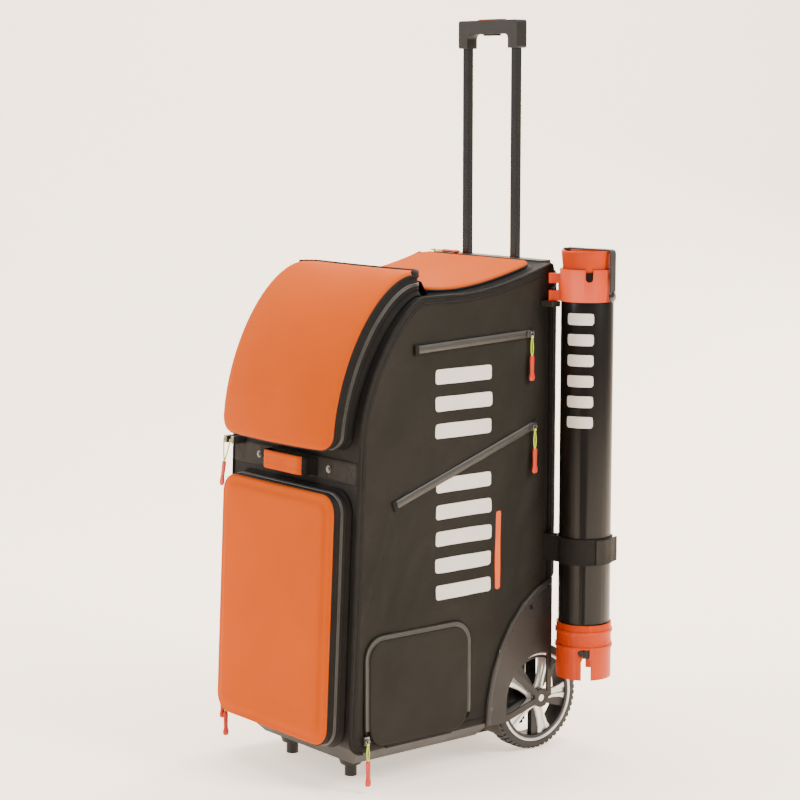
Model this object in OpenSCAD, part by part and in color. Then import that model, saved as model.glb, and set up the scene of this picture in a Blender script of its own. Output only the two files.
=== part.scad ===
// Wheeled trolley-bag ball machine.
// X runs across the bag, -Y is its front, +Y its wheels and handle, +Z is up.
// Every sub-part is drawn around the bag's own centre line; stand() then moves it so
// that the origin is on the floor, under the middle of the whole object.

/* [Bag] */
// Half width over the side panels
bag_half_w = 172; // [166:1:176]
// Height of the bottom edge of the side panels
bag_base_z = 65; // [60:1:66]
// Front edge of the side panels at the bottom
front_y = -228; // [-234:1:-226]
// Rear edge of the side panels
rear_y = 197; // [195:1:200]
// Lean of the front, in degrees
front_lean = 2.74; // [2:0.1:3.2]
// Height at which the front starts to curve back
shoulder_z = 570; // [565:1:575]
// Height of the flat front half of the top
top_z = 785; // [780:1:790]
// Rise of the top towards the handle
top_rise = 38; // [30:1:42]
// Thickness of the fabric panels with their stiffener
wall = 5; // [4:0.5:6]

/* [Front flap and pocket] */
// Half width of the flap and of the pocket door
door_half_w = 150; // [146:1:152]
// Thickness of the moulded foam shell of the flap
flap_t = 12; // [8:1:14]
// How far the flap reaches forward of the middle of its curve
flap_reach = 206; // [200:1:208]
// Lower edge of the flap
flap_bottom_z = 552; // [548:1:556]
// Lower edge of the pocket door
pocket_bottom_z = 78; // [74:1:82]
// Upper edge of the pocket door
pocket_top_z = 480; // [470:1:484]
// Depth of the pocket's zip gusset
gusset_d = 26; // [22:1:28]
// Thickness of the pocket door
pocket_t = 16; // [12:1:18]

/* [Wheels and feet] */
// Rolling radius of the wheels
wheel_r = 91; // [88:1:92]
// Radius of the rim
rim_r = 76; // [72:1:78]
// Width of the tyres
tyre_w = 34; // [28:1:36]
// Distance of the axle behind the bag's middle
axle_y = 178; // [174:1:180]
// Radius of the axle
axle_r = 6; // [5:0.5:7]
// Radius of the front feet
foot_r = 10; // [8:1:12]

/* [Trolley handle] */
// Distance of each tube from the middle
handle_x = 62; // [56:1:66]
// Tube size across the bag
tube_w = 16; // [14:1:17]
// Tube size front to back
tube_d = 11; // [9:1:12]
// Top of the grip, with the handle pulled out
grip_top_z = 1227; // [1200:1:1240]
// Travel of the handle
handle_travel = 340; // [300:5:345]

/* [Ball tube] */
// Place of the tube's centre line across the bag
ball_x = 225; // [224:1:228]
// Place of the tube's centre line front to back
ball_y = 227; // [226:1:230]
// Outer radius of the tube
ball_tube_r = 43.5; // [43:0.1:44]
// Wall of the tube
ball_tube_wall = 2; // [1.5:0.5:3]
// Lowest point of the mouth fitting
mouth_z = 135; // [130:1:140]
// Top of the flared ring
flare_z = 850; // [845:1:855]

/* [Launcher] */
// Height of the launcher's tilt axis
launch_z = 640; // [638:1:642]
// Place of the launcher's tilt axis, front to back
launch_y = -82; // [-84:1:-82]
// Radius of the throwing wheels
throw_r = 43; // [40:1:43]
// Distance of each throwing wheel from the middle
throw_x = 77; // [76:1:77]
// Radius of the feed rotor
rotor_r = 95; // [92:1:95]
// Height of the shelf that carries the launcher
shelf_z = 552; // [550:1:553]

/* [Hidden] */
$fn = 48;

nylon = [0.10, 0.10, 0.11];
webbing = [0.06, 0.06, 0.07];
shell_orange = [1.0, 0.42, 0.05];
tube_orange = [0.98, 0.30, 0.05];
plastic = [0.13, 0.13, 0.14];
gloss = [0.03, 0.03, 0.03];
silver = [0.78, 0.78, 0.80];
tab_red = [0.95, 0.25, 0.12];
eps = 0.01;
gap = 0.3;

// The whole object's box, for the origin under its middle
screw_h = 5.5;
strap_reach = 52.77;
door_d = gusset_d + gap + pocket_t;
box_left = -bag_half_w - screw_h;
box_right = ball_x + strap_reach;
box_front = front_y - door_d * cos(front_lean) + (pocket_bottom_z - 81) * sin(front_lean);
box_rear = ball_y + ball_tube_r + 4.5;
module stand() translate([-(box_left + box_right) / 2, -(box_front + box_rear) / 2, 0]) children();

// An outline in Y and Z, drawn out along X
module along_x(x0, x1) translate([x0, 0, 0]) rotate([90, 0, 90]) linear_extrude(x1 - x0) children();
// An outline in X and Z, drawn out along Y
module along_y(y0, y1) translate([0, y1, 0]) rotate([90, 0, 0]) linear_extrude(y1 - y0) children();
module along_z(z0, z1) translate([0, 0, z0]) linear_extrude(z1 - z0) children();
// A box from corner to corner
module box(a, b) translate(a) cube(b - a);
module round_rect(a, b, r) {
  translate([a.x + r, a.y]) square([b.x - a.x - 2 * r, b.y - a.y]);
  translate([a.x, a.y + r]) square([b.x - a.x, b.y - a.y - 2 * r]);
  for (x = [a.x + r, b.x - r], y = [a.y + r, b.y - r]) translate([x, y]) circle(r);
}
module both_sides() {
  children();
  mirror([1, 0, 0]) children();
}
function reversed(p) = [for (i = [len(p) - 1:-1:0]) p[i]];

// Side outline of the bag: a leaning front, a curved shoulder and a rising top
shoulder_y = -76;
lean = tan(front_lean);
edge_y0 = front_y + (shoulder_z - 90) * lean;
function front_at(z) = front_y + (z - 90) * lean;
function curve(c, a, b, n, t) = [c.x - a * pow(cos(t), 2 / n), c.y + b * pow(sin(t), 2 / n)];
function shoulder(d) = [for (t = [0:9:90])
  curve([shoulder_y, shoulder_z], shoulder_y - edge_y0 - d, top_z - shoulder_z - d, 1.5, t)];
function top_at(y) = top_z + top_rise * pow(max(y, 0) / 188, 1.6);
function top_line(y0, y1, d) =
  [for (i = [0:16]) let (y = y0 + (y1 - y0) * i / 16) [y, top_at(y) - d]];
corner_r = 25;
function toe(d) = [for (t = [90:-15:0]) [
  front_y + corner_r - (corner_r - d) * cos(t),
  bag_base_z + corner_r - (corner_r - d) * sin(t)]];
module bag_outline()
  polygon(concat([[rear_y, bag_base_z]], toe(0), shoulder(0), top_line(-40, rear_y, 0)));

// Outline of the flap's outer face and of its inner face
flap_c = [-57, 560];
function flap_face(d) = concat([[flap_c.x - flap_reach + d, flap_bottom_z]],
  [for (t = [0:9:90]) curve(flap_c, flap_reach - d, 260 - d, 2, t)]);

// Things on the leaning front are drawn in its own plane
module on_front() translate([0, front_y, 90]) rotate([-front_lean, 0, 0]) children();

// Wheel arch, in Y and Z
function arch_edge(d) = [for (t = [0:11:77]) [240 - (187 - d) * cos(t), 63 + (240 - d) * sin(t)]];
module arch_outline(d) polygon(concat(
  [[200 - d, 63], [53 + d, 63]], arch_edge(d), [[200 - d, 63 + (240 - d) * 0.978]]));
module spoke(a, w) translate([axle_y, wheel_r]) rotate(a) translate([0, -w / 2]) square([90, w]);
well_x = 118;

// ---- Bag ----

// The tray narrows towards its floor, which carries the feet
module tray_solid(z0, z1, d) intersection() {
  along_z(z0, z1) round_rect([-164 + d, front_y + 22 + d], [164 - d, 188 - d], 20);
  along_x(-170, 170) polygon([[front_y + 22 + d, z1], [front_y + 44 + d, z0], [188, z0], [188, z1]]);
  along_y(-220, 190) polygon([[-164 + d, z1], [-122 + d, z0], [122 - d, z0], [164 - d, z1]]);
}
module base_tray() color(plastic) stand() difference() {
  tray_solid(33, bag_base_z - gap, 0);
  tray_solid(38, bag_base_z, 4);
  both_sides() box([well_x - 1, 76, 30], [200, 200, 100]);
}

module front_feet() color(gloss) stand() both_sides() translate([81, -157, 0]) {
  cylinder(h = 21, r = foot_r);
  translate([0, 0, 20]) cylinder(h = 13, r1 = 17, r2 = 21.5);
}

module side_panel() along_x(bag_half_w - wall, bag_half_w) difference() {
  bag_outline();
  polygon(concat([[220, 0], [65, 0]], arch_edge(12), [[220, 290]]));
}
module side_panel_right() color(nylon) stand() side_panel();
module side_panel_left() color(nylon) stand() mirror([1, 0, 0]) side_panel();

inner_x = bag_half_w - wall;
module front_panel() color(nylon) stand() difference() {
  along_x(-inner_x, inner_x)
    polygon(concat(toe(0), shoulder(0), reversed(shoulder(wall)), reversed(toe(wall))));
  along_y(front_y - 10, front_y + 60) round_rect([-122, 100], [122, 455], 25);
  box([-122, front_y - 10, 592], [122, -90, 800]);
}

module top_deck() color(nylon) stand() difference() {
  along_x(-inner_x, inner_x)
    polygon(concat(top_line(shoulder_y, rear_y, 0), reversed(top_line(shoulder_y, rear_y, wall))));
  box([-126, -40, 700], [126, 172, 900]);
}

function back_at(x) = 197 + 29 * (1 - pow(abs(x) / bag_half_w, 4));
module back_panel() color(nylon) stand() difference() {
  along_z(bag_base_z, 821) polygon(concat(
    [for (i = [-10:10]) [i * inner_x / 10, back_at(i * inner_x / 10) + gap]],
    [for (i = [10:-1:-10]) [i * inner_x / 10, back_at(i * inner_x / 10) - 2.5]]));
  both_sides() box([well_x - 1, 150, 0], [200, 260, 212]);
}

// Chute from under the hopper to the throwing wheels, and the posts that carry the hopper
module chute_and_posts() {
  both_sides() box([90, 60, shelf_z], [94, 88, 646]);
  box([-43, 40, shelf_z], [43, 43, 612]);
  along_x(-43, 43) polygon([[-30, 598], [59, 612], [59, 616], [-30, 602]]);
  both_sides() along_x(40, 43) polygon([[-30, 598], [59, 612], [59, 645.5], [-30, 630]]);
}

// Chassis: rear wall, shelf, chute and the two brackets that the launcher tilts in
module inner_frame() color(silver) stand() difference() {
  union() {
    box([-inner_x, 190, bag_base_z], [inner_x, 194, 800]);
    box([-160, -195, shelf_z - 6], [160, 191, shelf_z]);
    both_sides() box([127, launch_y - 14, shelf_z - 1], [135, launch_y + 14, launch_z + 14]);
    chute_and_posts();
  }
  both_sides() box([well_x - 1, 150, 0], [200, 260, 212]);
  both_sides() translate([120, launch_y, launch_z]) rotate([0, 90, 0]) cylinder(h = 30, r = 5.05);
}

// ---- Front flap, pocket and top ----

module flap_window() {
  along_y(-300, 0) round_rect([-door_half_w, flap_bottom_z], [door_half_w, 900], 26);
}
module flap_shell() color(shell_orange) stand() intersection() {
  along_x(-door_half_w, door_half_w) polygon(concat(flap_face(0), reversed(flap_face(flap_t))));
  flap_window();
  along_z(500, 900) round_rect([-door_half_w, -300], [door_half_w, -57], 26);
}

module flap_gusset() color(webbing) stand() difference() {
  along_x(-door_half_w, door_half_w)
    polygon(concat(flap_face(flap_t + gap), reversed(shoulder(0)),
      [[front_at(flap_bottom_z), flap_bottom_z]]));
  box([-door_half_w + 16, -300, flap_bottom_z + 18], [door_half_w - 16, 0, 900]);
  box([-200, -66, 700], [200, 0, 900]);
}

pocket_z0 = pocket_bottom_z - 90;
pocket_z1 = pocket_top_z - 90;
module pocket_gusset() color(webbing) stand() on_front() difference() {
  along_y(-gusset_d, 0)
    round_rect([-door_half_w - 5, pocket_z0 - 5], [door_half_w + 5, pocket_z1 + 5], 32);
  along_y(-gusset_d - 1, 1)
    round_rect([-door_half_w + 24, pocket_z0 + 24], [door_half_w - 24, pocket_z1 - 24], 20);
}

module pocket_door() color(shell_orange) stand() on_front() {
  y1 = -gusset_d - gap;
  along_y(y1 - 9, y1) round_rect([-door_half_w, pocket_z0], [door_half_w, pocket_z1], 30);
  along_y(y1 - pocket_t, y1 - 9)
    round_rect([-door_half_w + 9, pocket_z0 + 9], [door_half_w - 9, pocket_z1 - 9], 24);
}

top_y0 = -44;
top_y1 = 178;
module top_gusset() color(webbing) stand() difference() {
  along_x(-150, 150)
    polygon(concat(top_line(top_y0, top_y1 - 2, -gap), reversed(top_line(top_y0, top_y1 - 2, -5))));
  along_z(700, 900) round_rect([-136, top_y0 + 12], [136, top_y1 - 8], 14);
}

module top_panel() color(shell_orange) stand() intersection() {
  along_x(-147, 147)
    polygon(concat(top_line(top_y0, top_y1 - 2, -5 - gap), reversed(top_line(top_y0, top_y1 - 2, -15))));
  along_z(700, 900) round_rect([-147, top_y0 + 2], [147, top_y1 - 2], 22);
}

handle_z0 = 410;
module grab_handle() color(shell_orange) stand() on_front()
  along_z(handle_z0, handle_z0 + 31) difference() {
    polygon([[-66, 0], [-49, -30], [49, -30], [66, 0]]);
    polygon([[-55, eps], [-44, -21], [44, -21], [55, eps]]);
  }

module rivets() color(silver) stand() on_front() for (x = [-95, 95])
  translate([x, 0, 425]) rotate([90, 0, 0]) {
    cylinder(h = 3, r = 6);
    cylinder(h = 5, r = 3.5);
  }

// ---- Zips on the right side ----

zip_x = bag_half_w;
upper_zip = [[-92, 703], [152, 713]];
lower_zip = [[-136, 458], [160, 560]];
module zip_band(p, w, x0, x1) {
  a = atan2(p[1].y - p[0].y, p[1].x - p[0].x);
  along_x(x0, x1) translate(p[0]) rotate(a) translate([0, -w / 2]) square([norm(p[1] - p[0]), w]);
}
module side_zips() color(webbing) stand() {
  zip_band(upper_zip, 13, zip_x, zip_x + 1.6);
  zip_band(lower_zip, 13, zip_x, zip_x + 1.6);
  along_x(zip_x, zip_x + 1.6) difference() {
    round_rect([-196, 70], [20, 250], 34);
    round_rect([-184, 50], [8, 238], 26);
  }
}
module side_pocket_flap() color(nylon) stand() along_x(zip_x + 1.6 + gap, zip_x + 4.5)
  round_rect([-190, 72], [14, 244], 30);

// A slider: body, top loop and the pin that its pull hangs from
slider_x = zip_x + 1.6 + gap;
module slider(p, a = 0) translate([0, p.x, p.y]) rotate([a, 0, 0]) {
  box([slider_x, -7, -5], [slider_x + 4, 7, 5]);
  translate([slider_x + 4, 0, 0]) rotate([0, 90, 0]) cylinder(h = 4, r = 1.5);
}
// A pull drawn hanging from the origin, towards -Z, in the plane X = 0
cord_len = 36;
tab_len = 42;
module pull(cord = cord_len, bore = 1.6) {
  difference() {
    translate([-1.5, 0, 0]) rotate([0, 90, 0]) cylinder(h = 3, r = 4);
    if (bore > 0) translate([-3, 0, 0]) rotate([0, 90, 0]) cylinder(h = 6, r = bore);
  }
  box([-1.5, -2.5, -cord], [1.5, 2.5, -3]);
  box([-3, -5, -cord - tab_len + 6], [3, 5, -cord]);
  translate([-3, 0, -cord - tab_len + 6]) rotate([0, 90, 0]) cylinder(h = 6, r = 6);
}
pull_x = slider_x + 4 + 2;
upper_park = [146, 713];
lower_park = [154, 558];
module upper_slider() color(silver) stand() slider(upper_park, 2.3);
module lower_slider() color(silver) stand() slider(lower_park, 19);
module upper_pull() color(tab_red) stand() translate([pull_x, upper_park.x, upper_park.y]) pull();
module lower_pull() color(tab_red) stand() translate([pull_x, lower_park.x, lower_park.y]) pull();

// Sliders that stay parked: side pocket, pocket door, flap and top panel
door_park = [[-236, 131], [-234, 101]];
door_pull_x = [-door_half_w - 23.8, -door_half_w - 17];
flap_park = [[-163, -232], [-143, -232]];
flap_park_z = 534;
top_park = [-138, 193];
top_park_z = 827;
pocket_park = [-198, 86];
module fixed_sliders() color(silver) stand() {
  slider(pocket_park, 90);
  for (i = [0, 1]) translate([0, door_park[i].x, door_park[i].y]) {
    box([-door_half_w - 11, -4, -6], [-door_half_w - 5, 5, 6]);
    translate([door_pull_x[i] - 3.4, 0, 0]) rotate([0, 90, 0])
      cylinder(h = -door_half_w - 8 - door_pull_x[i], r = 1.5);
  }
  for (p = flap_park) {
    box([p.x - 4, p.y + 1, flap_park_z - 6], [p.x + 4, front_at(flap_park_z - 6), flap_park_z + 6]);
  }
  box([top_park.x - 6, top_park.y - 4, top_at(top_park.y + 3)],
      [top_park.x + 6, top_park.y + 3, top_park_z + 2]);
}
module pocket_pull() color(tab_red) stand() translate([pull_x, pocket_park.x, pocket_park.y]) pull(32);
module door_pull(i) translate([door_pull_x[i], door_park[i].x, door_park[i].y]) pull();
module door_pull_high() color(tab_red) stand() door_pull(0);
module door_pull_low() color(tab_red) stand() door_pull(1);

// Two pulls tangled together at the corner of the flap
module flap_pulls() color(tab_red) stand() translate([0, flap_park[0].y - 2, flap_park_z]) {
  knot = [-163, -40];
  for (p = flap_park) along_y(-1.5, 1.5)
    polygon([[p.x - 2, 3], [p.x + 2, 3], [knot.x + 2, knot.y], [knot.x - 2, knot.y]]);
  along_y(-3, 3) translate(knot) rotate(-13) translate([-5, -36]) square([10, 38]);
  along_y(-3, 3) translate(knot) rotate(-13) translate([0, -36]) circle(6);
}

// The top pull lies on the rear edge of the top
module top_pull() color(tab_red) stand() translate([top_park.x, top_park.y, top_park_z + 2]) {
  translate([0, 0, gap]) {
    translate([0, -3, 1.5]) rotate([-90, 0, 0]) cylinder(h = 6, r = 1.5);
    box([0, -2, 0], [34, 2, 3]);
    box([34, -4.5, 0], [70, 4.5, 6]);
    translate([70, 0, 0]) cylinder(h = 6, r = 5);
  }
}

// ---- Wheels ----

module wheel_guard() {
  difference() {
    along_x(bag_half_w + 0.1, bag_half_w + 4) arch_outline(0);
    along_x(bag_half_w - 1, bag_half_w + 5) {
      difference() {
        translate([axle_y, wheel_r]) circle(80);
        spoke(140, 11);
        spoke(196, 11);
        translate([axle_y, wheel_r]) circle(16);
        translate([190, wheel_r]) square([20, 120]);
        translate([axle_y, wheel_r]) rotate(196) translate([-80, 0]) square([200, 100]);
      }
      difference() {
        translate([axle_y, wheel_r]) circle(96);
        translate([axle_y, wheel_r]) rotate(16) translate([-200, -5]) square([400, 300]);
        translate([axle_y, wheel_r]) circle(16);
      }
    }
    translate([0, axle_y, wheel_r]) rotate([0, 90, 0]) cylinder(h = 300, r = axle_r);
  }
  intersection() {
    difference() {
      translate([well_x, axle_y, wheel_r]) rotate([0, 90, 0])
        cylinder(h = bag_half_w + 1 - well_x, r = 100);
      translate([well_x + 3, axle_y, wheel_r]) rotate([0, 90, 0]) cylinder(h = 100, r = 97);
      translate([0, axle_y, wheel_r]) rotate([0, 90, 0]) cylinder(h = 300, r = axle_r);
    }
    box([0, 60, 40], [bag_half_w + 1, 189.5, 250]);
  }
}
module wheel_guard_right() color(plastic) stand() wheel_guard();
module wheel_guard_left() color(plastic) stand() mirror([1, 0, 0]) wheel_guard();

module guard_screws() color(gloss) stand() both_sides()
  for (p = [[62, 92], [84, 187], [152, 252], [188, 285]])
  translate([bag_half_w + 4, p.x, p.y]) rotate([0, 90, 0]) cylinder(h = 1.5, r = 4);

module axle() color(silver) stand() translate([-bag_half_w - 3, axle_y, wheel_r]) rotate([0, 90, 0])
  cylinder(h = 2 * bag_half_w + 6, r = axle_r);

tyre_x = 129;
module tyre() translate([0, axle_y, wheel_r]) rotate([0, 90, 0]) translate([0, 0, tyre_x]) difference() {
  union() {
    translate([0, 0, 4]) cylinder(h = tyre_w - 8, r = wheel_r);
    cylinder(h = tyre_w, r = wheel_r - 3);
  }
  translate([0, 0, -1]) cylinder(h = tyre_w + 2, r = rim_r);
}
module tyre_right() color(gloss) stand() tyre();
module tyre_left() color(gloss) stand() mirror([1, 0, 0]) tyre();

module rim() translate([0, axle_y, wheel_r]) rotate([0, 90, 0]) translate([0, 0, tyre_x]) difference() {
  union() {
    difference() {
      cylinder(h = tyre_w, r = rim_r);
      translate([0, 0, -1]) cylinder(h = tyre_w + 2, r = rim_r - 9);
    }
    translate([0, 0, -4]) cylinder(h = tyre_w + 8, r = 16);
    for (a = [0:72:288]) rotate(a) translate([0, -8, tyre_w - 14]) cube([rim_r - 5, 16, 10]);
  }
  translate([0, 0, -10]) cylinder(h = tyre_w + 20, r = axle_r + 0.05);
}
module rim_right() color(silver) stand() rim();
module rim_left() color(silver) stand() mirror([1, 0, 0]) rim();

// ---- Trolley handle ----

tube_y = 212;
module handle_bezel() color(plastic) stand() difference() {
  along_z(821.5, 829) round_rect([-142, 198], [142, 225], 8);
  both_sides() box([handle_x - tube_w / 2 - gap, tube_y - tube_d / 2 - gap, 800],
                   [handle_x + tube_w / 2 + gap, tube_y + tube_d / 2 + gap, 900]);
}

module handle_sleeves() color(silver) stand() both_sides() difference() {
  box([handle_x - 11, tube_y - 8.5, 72], [handle_x + 11, tube_y + 8.5, 821]);
  box([handle_x - tube_w / 2 - gap, tube_y - tube_d / 2 - gap, 75],
      [handle_x + tube_w / 2 + gap, tube_y + tube_d / 2 + gap, 900]);
}

grip_leg_z = grip_top_z - 47;
handle_z = 810 - handle_travel;
module handle_tubes() color(gloss) stand() both_sides() difference() {
  box([handle_x - tube_w / 2, tube_y - tube_d / 2, handle_z],
      [handle_x + tube_w / 2, tube_y + tube_d / 2, grip_leg_z + 15]);
  box([handle_x - tube_w / 2 + 1.5, tube_y - tube_d / 2 + 1.5, handle_z - 10],
      [handle_x + tube_w / 2 - 1.5, tube_y + tube_d / 2 - 1.5, grip_leg_z]);
}

module handle_grip() color(plastic) stand() difference() {
  union() {
    along_y(tube_y - 11, tube_y + 11) difference() {
      round_rect([-75, grip_leg_z], [75, grip_top_z], 4);
      round_rect([-52, grip_leg_z - 20], [52, grip_top_z - 23], 9);
    }
    box([-17, tube_y - 5, grip_top_z - 26], [17, tube_y + 5, grip_top_z - 22]);
  }
  both_sides() box([handle_x - tube_w / 2, tube_y - tube_d / 2, grip_leg_z - 5],
                   [handle_x + tube_w / 2, tube_y + tube_d / 2, grip_leg_z + 15]);
  box([-31, tube_y - 6, grip_top_z - 7], [31, tube_y + 6, grip_top_z + 1]);
}

module handle_button() color(tube_orange) stand()
  box([-30.5, tube_y - 5.5, grip_top_z - 3.5], [30.5, tube_y + 5.5, grip_top_z + 2]);

// ---- Ball tube ----

module at_ball(a = 0) translate([ball_x, ball_y, 0]) rotate(a) children();
module ring(r1, r2, z0, z1) translate([0, 0, z0]) difference() {
  cylinder(h = z1 - z0, r = r2);
  translate([0, 0, -1]) cylinder(h = z1 - z0 + 2, r = r1);
}
ear_a = 231;
ear_r = 55;
collar_z = 767;

module tube_hanger() color(webbing) stand() {
  box([bag_half_w, 172, collar_z - 10], [198, 191.5, collar_z - 1]);
  at_ball(ear_a) translate([ear_r, 0, collar_z - 2]) cylinder(h = 24, r = 4);
}

module tube_strap() color(webbing) stand() {
  at_ball() ring(ball_tube_r + 0.7, ball_tube_r + 3.2, 330, 374);
  difference() {
    along_z(330, 374) polygon([[bag_half_w, 178], [bag_half_w, 194], [198, 196], [206, 184]]);
    at_ball() translate([0, 0, 300]) cylinder(h = 100, r = ball_tube_r + 2);
  }
  at_ball(46) box([ball_tube_r + 3, -1.5, 332], [ball_tube_r + 9.5, 1.5, 372]);
}

module tube_barrel() color(gloss) stand() at_ball() {
  ring(ball_tube_r - ball_tube_wall, ball_tube_r, 172, 815);
  rotate(-48) translate([ball_tube_r - 1, 0, 182]) rotate([0, 90, 0]) cylinder(h = 5, r = 5);
}

module tube_collar() color(tube_orange) stand() at_ball() {
  difference() {
    ring(ball_tube_r, ball_tube_r + 2.5, collar_z, 820);
    for (a = [-40:90:230]) rotate(a) {
      translate([30, -6, 806]) cube([30, 12, 20]);
      translate([30, 0, 806]) rotate([0, 90, 0]) cylinder(h = 30, r = 6);
    }
  }
  rotate(ear_a) difference() {
    box([ball_tube_r + 1.2, -6, collar_z], [64, 6, 812]);
    translate([ear_r, 0, collar_z - 5]) cylinder(h = 60, r = 4.4);
    box([ear_r - 7, -10, 784], [ear_r + 20, 10, 796]);
  }
}

module tube_flare() color(tube_orange) stand() at_ball() difference() {
  union() {
    translate([0, 0, 815]) cylinder(h = 10, r = 41.5);
    translate([0, 0, 825]) cylinder(h = flare_z - 825, r1 = 41.5, r2 = 44);
  }
  translate([0, 0, 814]) cylinder(h = 12, r = 38.5);
  translate([0, 0, 825]) cylinder(h = flare_z - 824, r1 = 38.5, r2 = 41.2);
}

module tube_hook_strap() color(gloss) stand() at_ball(10) {
  box([-47, -7, flare_z + 0.2], [52, 7, flare_z + 3]);
  box([-47.5, -7, flare_z - 12], [-45, 7, flare_z + 3]);
  box([49.5, -7, 776], [52, 7, flare_z + 3]);
  translate([49.5, 0, 776]) rotate([0, 90, 0]) cylinder(h = 2.5, r = 9);
  translate([46.2, 0, 776]) rotate([0, 90, 0]) cylinder(h = 4, r = 4);
}

// The mouth fitting turns on the tube; its L-shaped slots lock on the tube's button
module tube_mouth() color(tube_orange) stand() at_ball() difference() {
  union() {
    ring(ball_tube_r + gap, ball_tube_r + 2.5, mouth_z, 228);
    ring(ball_tube_r + gap, ball_tube_r + 4.5, 186, 191);
    ring(ball_tube_r + gap, ball_tube_r + 4.5, 212, 217);
  }
  for (a = [-38:90:232]) rotate(a) {
    translate([30, -8, mouth_z - 1]) cube([30, 16, 31]);
    translate([30, 0, mouth_z + 30]) rotate([0, 90, 0]) cylinder(h = 30, r = 8);
  }
  rotate(-38) translate([30, -6, mouth_z + 29]) cube([30, 12, 24]);
  rotate(-44) translate([30, -5, 176.5]) cube([30, 10, 11]);
  rotate(-48) translate([30, 0, 182]) rotate([0, 90, 0]) cylinder(h = 30, r = 5.8);
}

// ---- Launcher, hopper and battery ----

module launcher_housing() color(plastic) stand() translate([0, launch_y, launch_z]) {
  difference() {
    union() {
      box([-124, -50, -48], [124, 30, -43]);
      box([-124, -50, 48], [124, 30, 52]);
      both_sides() box([121, -50, -48], [124, 30, 52]);
      box([-124, -50, -48], [124, -47, 52]);
      rotate([90, 0, 0]) cylinder(h = 108, r = 41);
    }
    rotate([90, 0, 0]) translate([0, 0, -60]) cylinder(h = 180, r = 38);
    box([-100, -46.9, -42.9], [100, 40, 47.9]);
    both_sides() translate([throw_x, 0, -60]) cylinder(h = 120, r = 5);
  }
  both_sides() translate([123, 0, 0]) rotate([0, 90, 0]) cylinder(h = 13, r = 5);
}

module throw_wheel() translate([throw_x, launch_y, launch_z - 20]) difference() {
  union() {
    cylinder(h = 40, r = throw_r - 8);
    translate([0, 0, 5]) cylinder(h = 30, r = throw_r);
  }
  translate([0, 0, -1]) cylinder(h = 42, r = 4.05);
}
module throw_wheel_right() color(gloss) stand() throw_wheel();
module throw_wheel_left() color(gloss) stand() mirror([1, 0, 0]) throw_wheel();

module launcher_motors() color(silver) stand() both_sides() translate([throw_x, launch_y, launch_z]) {
  translate([0, 0, 52]) cylinder(h = 38, r = 17);
  translate([0, 0, -42]) cylinder(h = 95, r = 4);
}

panel_y = -188;
speed_at = [66, 632];
elevation_at = [102, 632];
switch_at = [84, 592];
module on_panel(p) translate([p.x, panel_y, p.y]) rotate([90, 0, 0]) children();
module control_panel() color(plastic) stand() difference() {
  box([50, panel_y, shelf_z], [118, -164, shelf_z + 100]);
  box([54, panel_y + 4, shelf_z + 4], [114, -160, shelf_z + 96]);
  for (p = [speed_at, elevation_at]) on_panel(p) translate([0, 0, -10]) cylinder(h = 20, r = 3.05);
  box([switch_at.x - 8, panel_y - 1, switch_at.y - 12],
      [switch_at.x + 8, panel_y + 10, switch_at.y + 12]);
}
module knob(p) on_panel(p) {
  translate([0, 0, gap]) cylinder(h = 11, r = 9.5);
  translate([0, 0, 11]) along_y(-9, 0) square([2, 1.5]);
  translate([0, 0, -8]) cylinder(h = 9, r = 3);
}
module speed_knob() color(gloss) stand() knob(speed_at);
module elevation_knob() color(gloss) stand() knob(elevation_at);
module power_switch() color(tube_orange) stand() translate([switch_at.x, panel_y, switch_at.y])
  along_x(-7, 7) polygon([[3, -10], [-1, -10], [1, 0], [-3.5, 9.5], [3, 9.5]]);

rotor_y = 74;
module hopper() color(plastic) stand() {
  difference() {
    box([-128, -26, 690], [128, 174, 778]);
    box([-125, -23, 694], [125, 171, 800]);
    translate([0, rotor_y, 680]) cylinder(h = 30, r = rotor_r + 1.5);
  }
  translate([0, rotor_y, 0]) {
    ring(rotor_r + 1.5, rotor_r + 4.5, 650, 690);
    difference() {
      translate([0, 0, 646]) cylinder(h = 5, r = rotor_r + 4.5);
      translate([0, -54, 640]) cylinder(h = 20, r = 39);
      translate([0, 0, 640]) cylinder(h = 20, r = 6);
    }
  }
}

// Three vanes that part the balls, on a hub
module feed_rotor() color(tube_orange) stand() translate([0, rotor_y, 652]) difference() {
  union() {
    cylinder(h = 30, r = 14);
    for (a = [90:120:330]) rotate(a) translate([0, -8, 0]) cube([rotor_r - 1, 16, 30]);
  }
  translate([0, 0, -1]) cylinder(h = 40, r = 4.05);
}

module feed_drive() color(silver) stand() translate([0, rotor_y, 0]) {
  translate([0, 0, shelf_z]) cylinder(h = 94, r = 12);
  translate([0, 0, shelf_z + 90]) cylinder(h = 44, r = 4);
}

module battery() color(gloss) stand() box([-75, -165, 38 + gap], [75, -75, 108]);

base_tray();
front_feet();
side_panel_left();
side_panel_right();
front_panel();
top_deck();
back_panel();
inner_frame();
flap_gusset();
flap_shell();
pocket_gusset();
pocket_door();
top_gusset();
top_panel();
grab_handle();
rivets();
side_zips();
side_pocket_flap();
wheel_guard_left();
wheel_guard_right();
guard_screws();
axle();
tyre_left();
tyre_right();
rim_left();
rim_right();
handle_bezel();
handle_sleeves();
handle_tubes();
handle_grip();
handle_button();
upper_slider();
upper_pull();
lower_slider();
lower_pull();
fixed_sliders();
pocket_pull();
door_pull_high();
door_pull_low();
flap_pulls();
top_pull();
tube_hanger();
tube_strap();
tube_barrel();
tube_collar();
tube_flare();
tube_hook_strap();
tube_mouth();
launcher_housing();
throw_wheel_left();
throw_wheel_right();
launcher_motors();
control_panel();
speed_knob();
elevation_knob();
power_switch();
hopper();
feed_rotor();
feed_drive();
battery();
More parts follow.
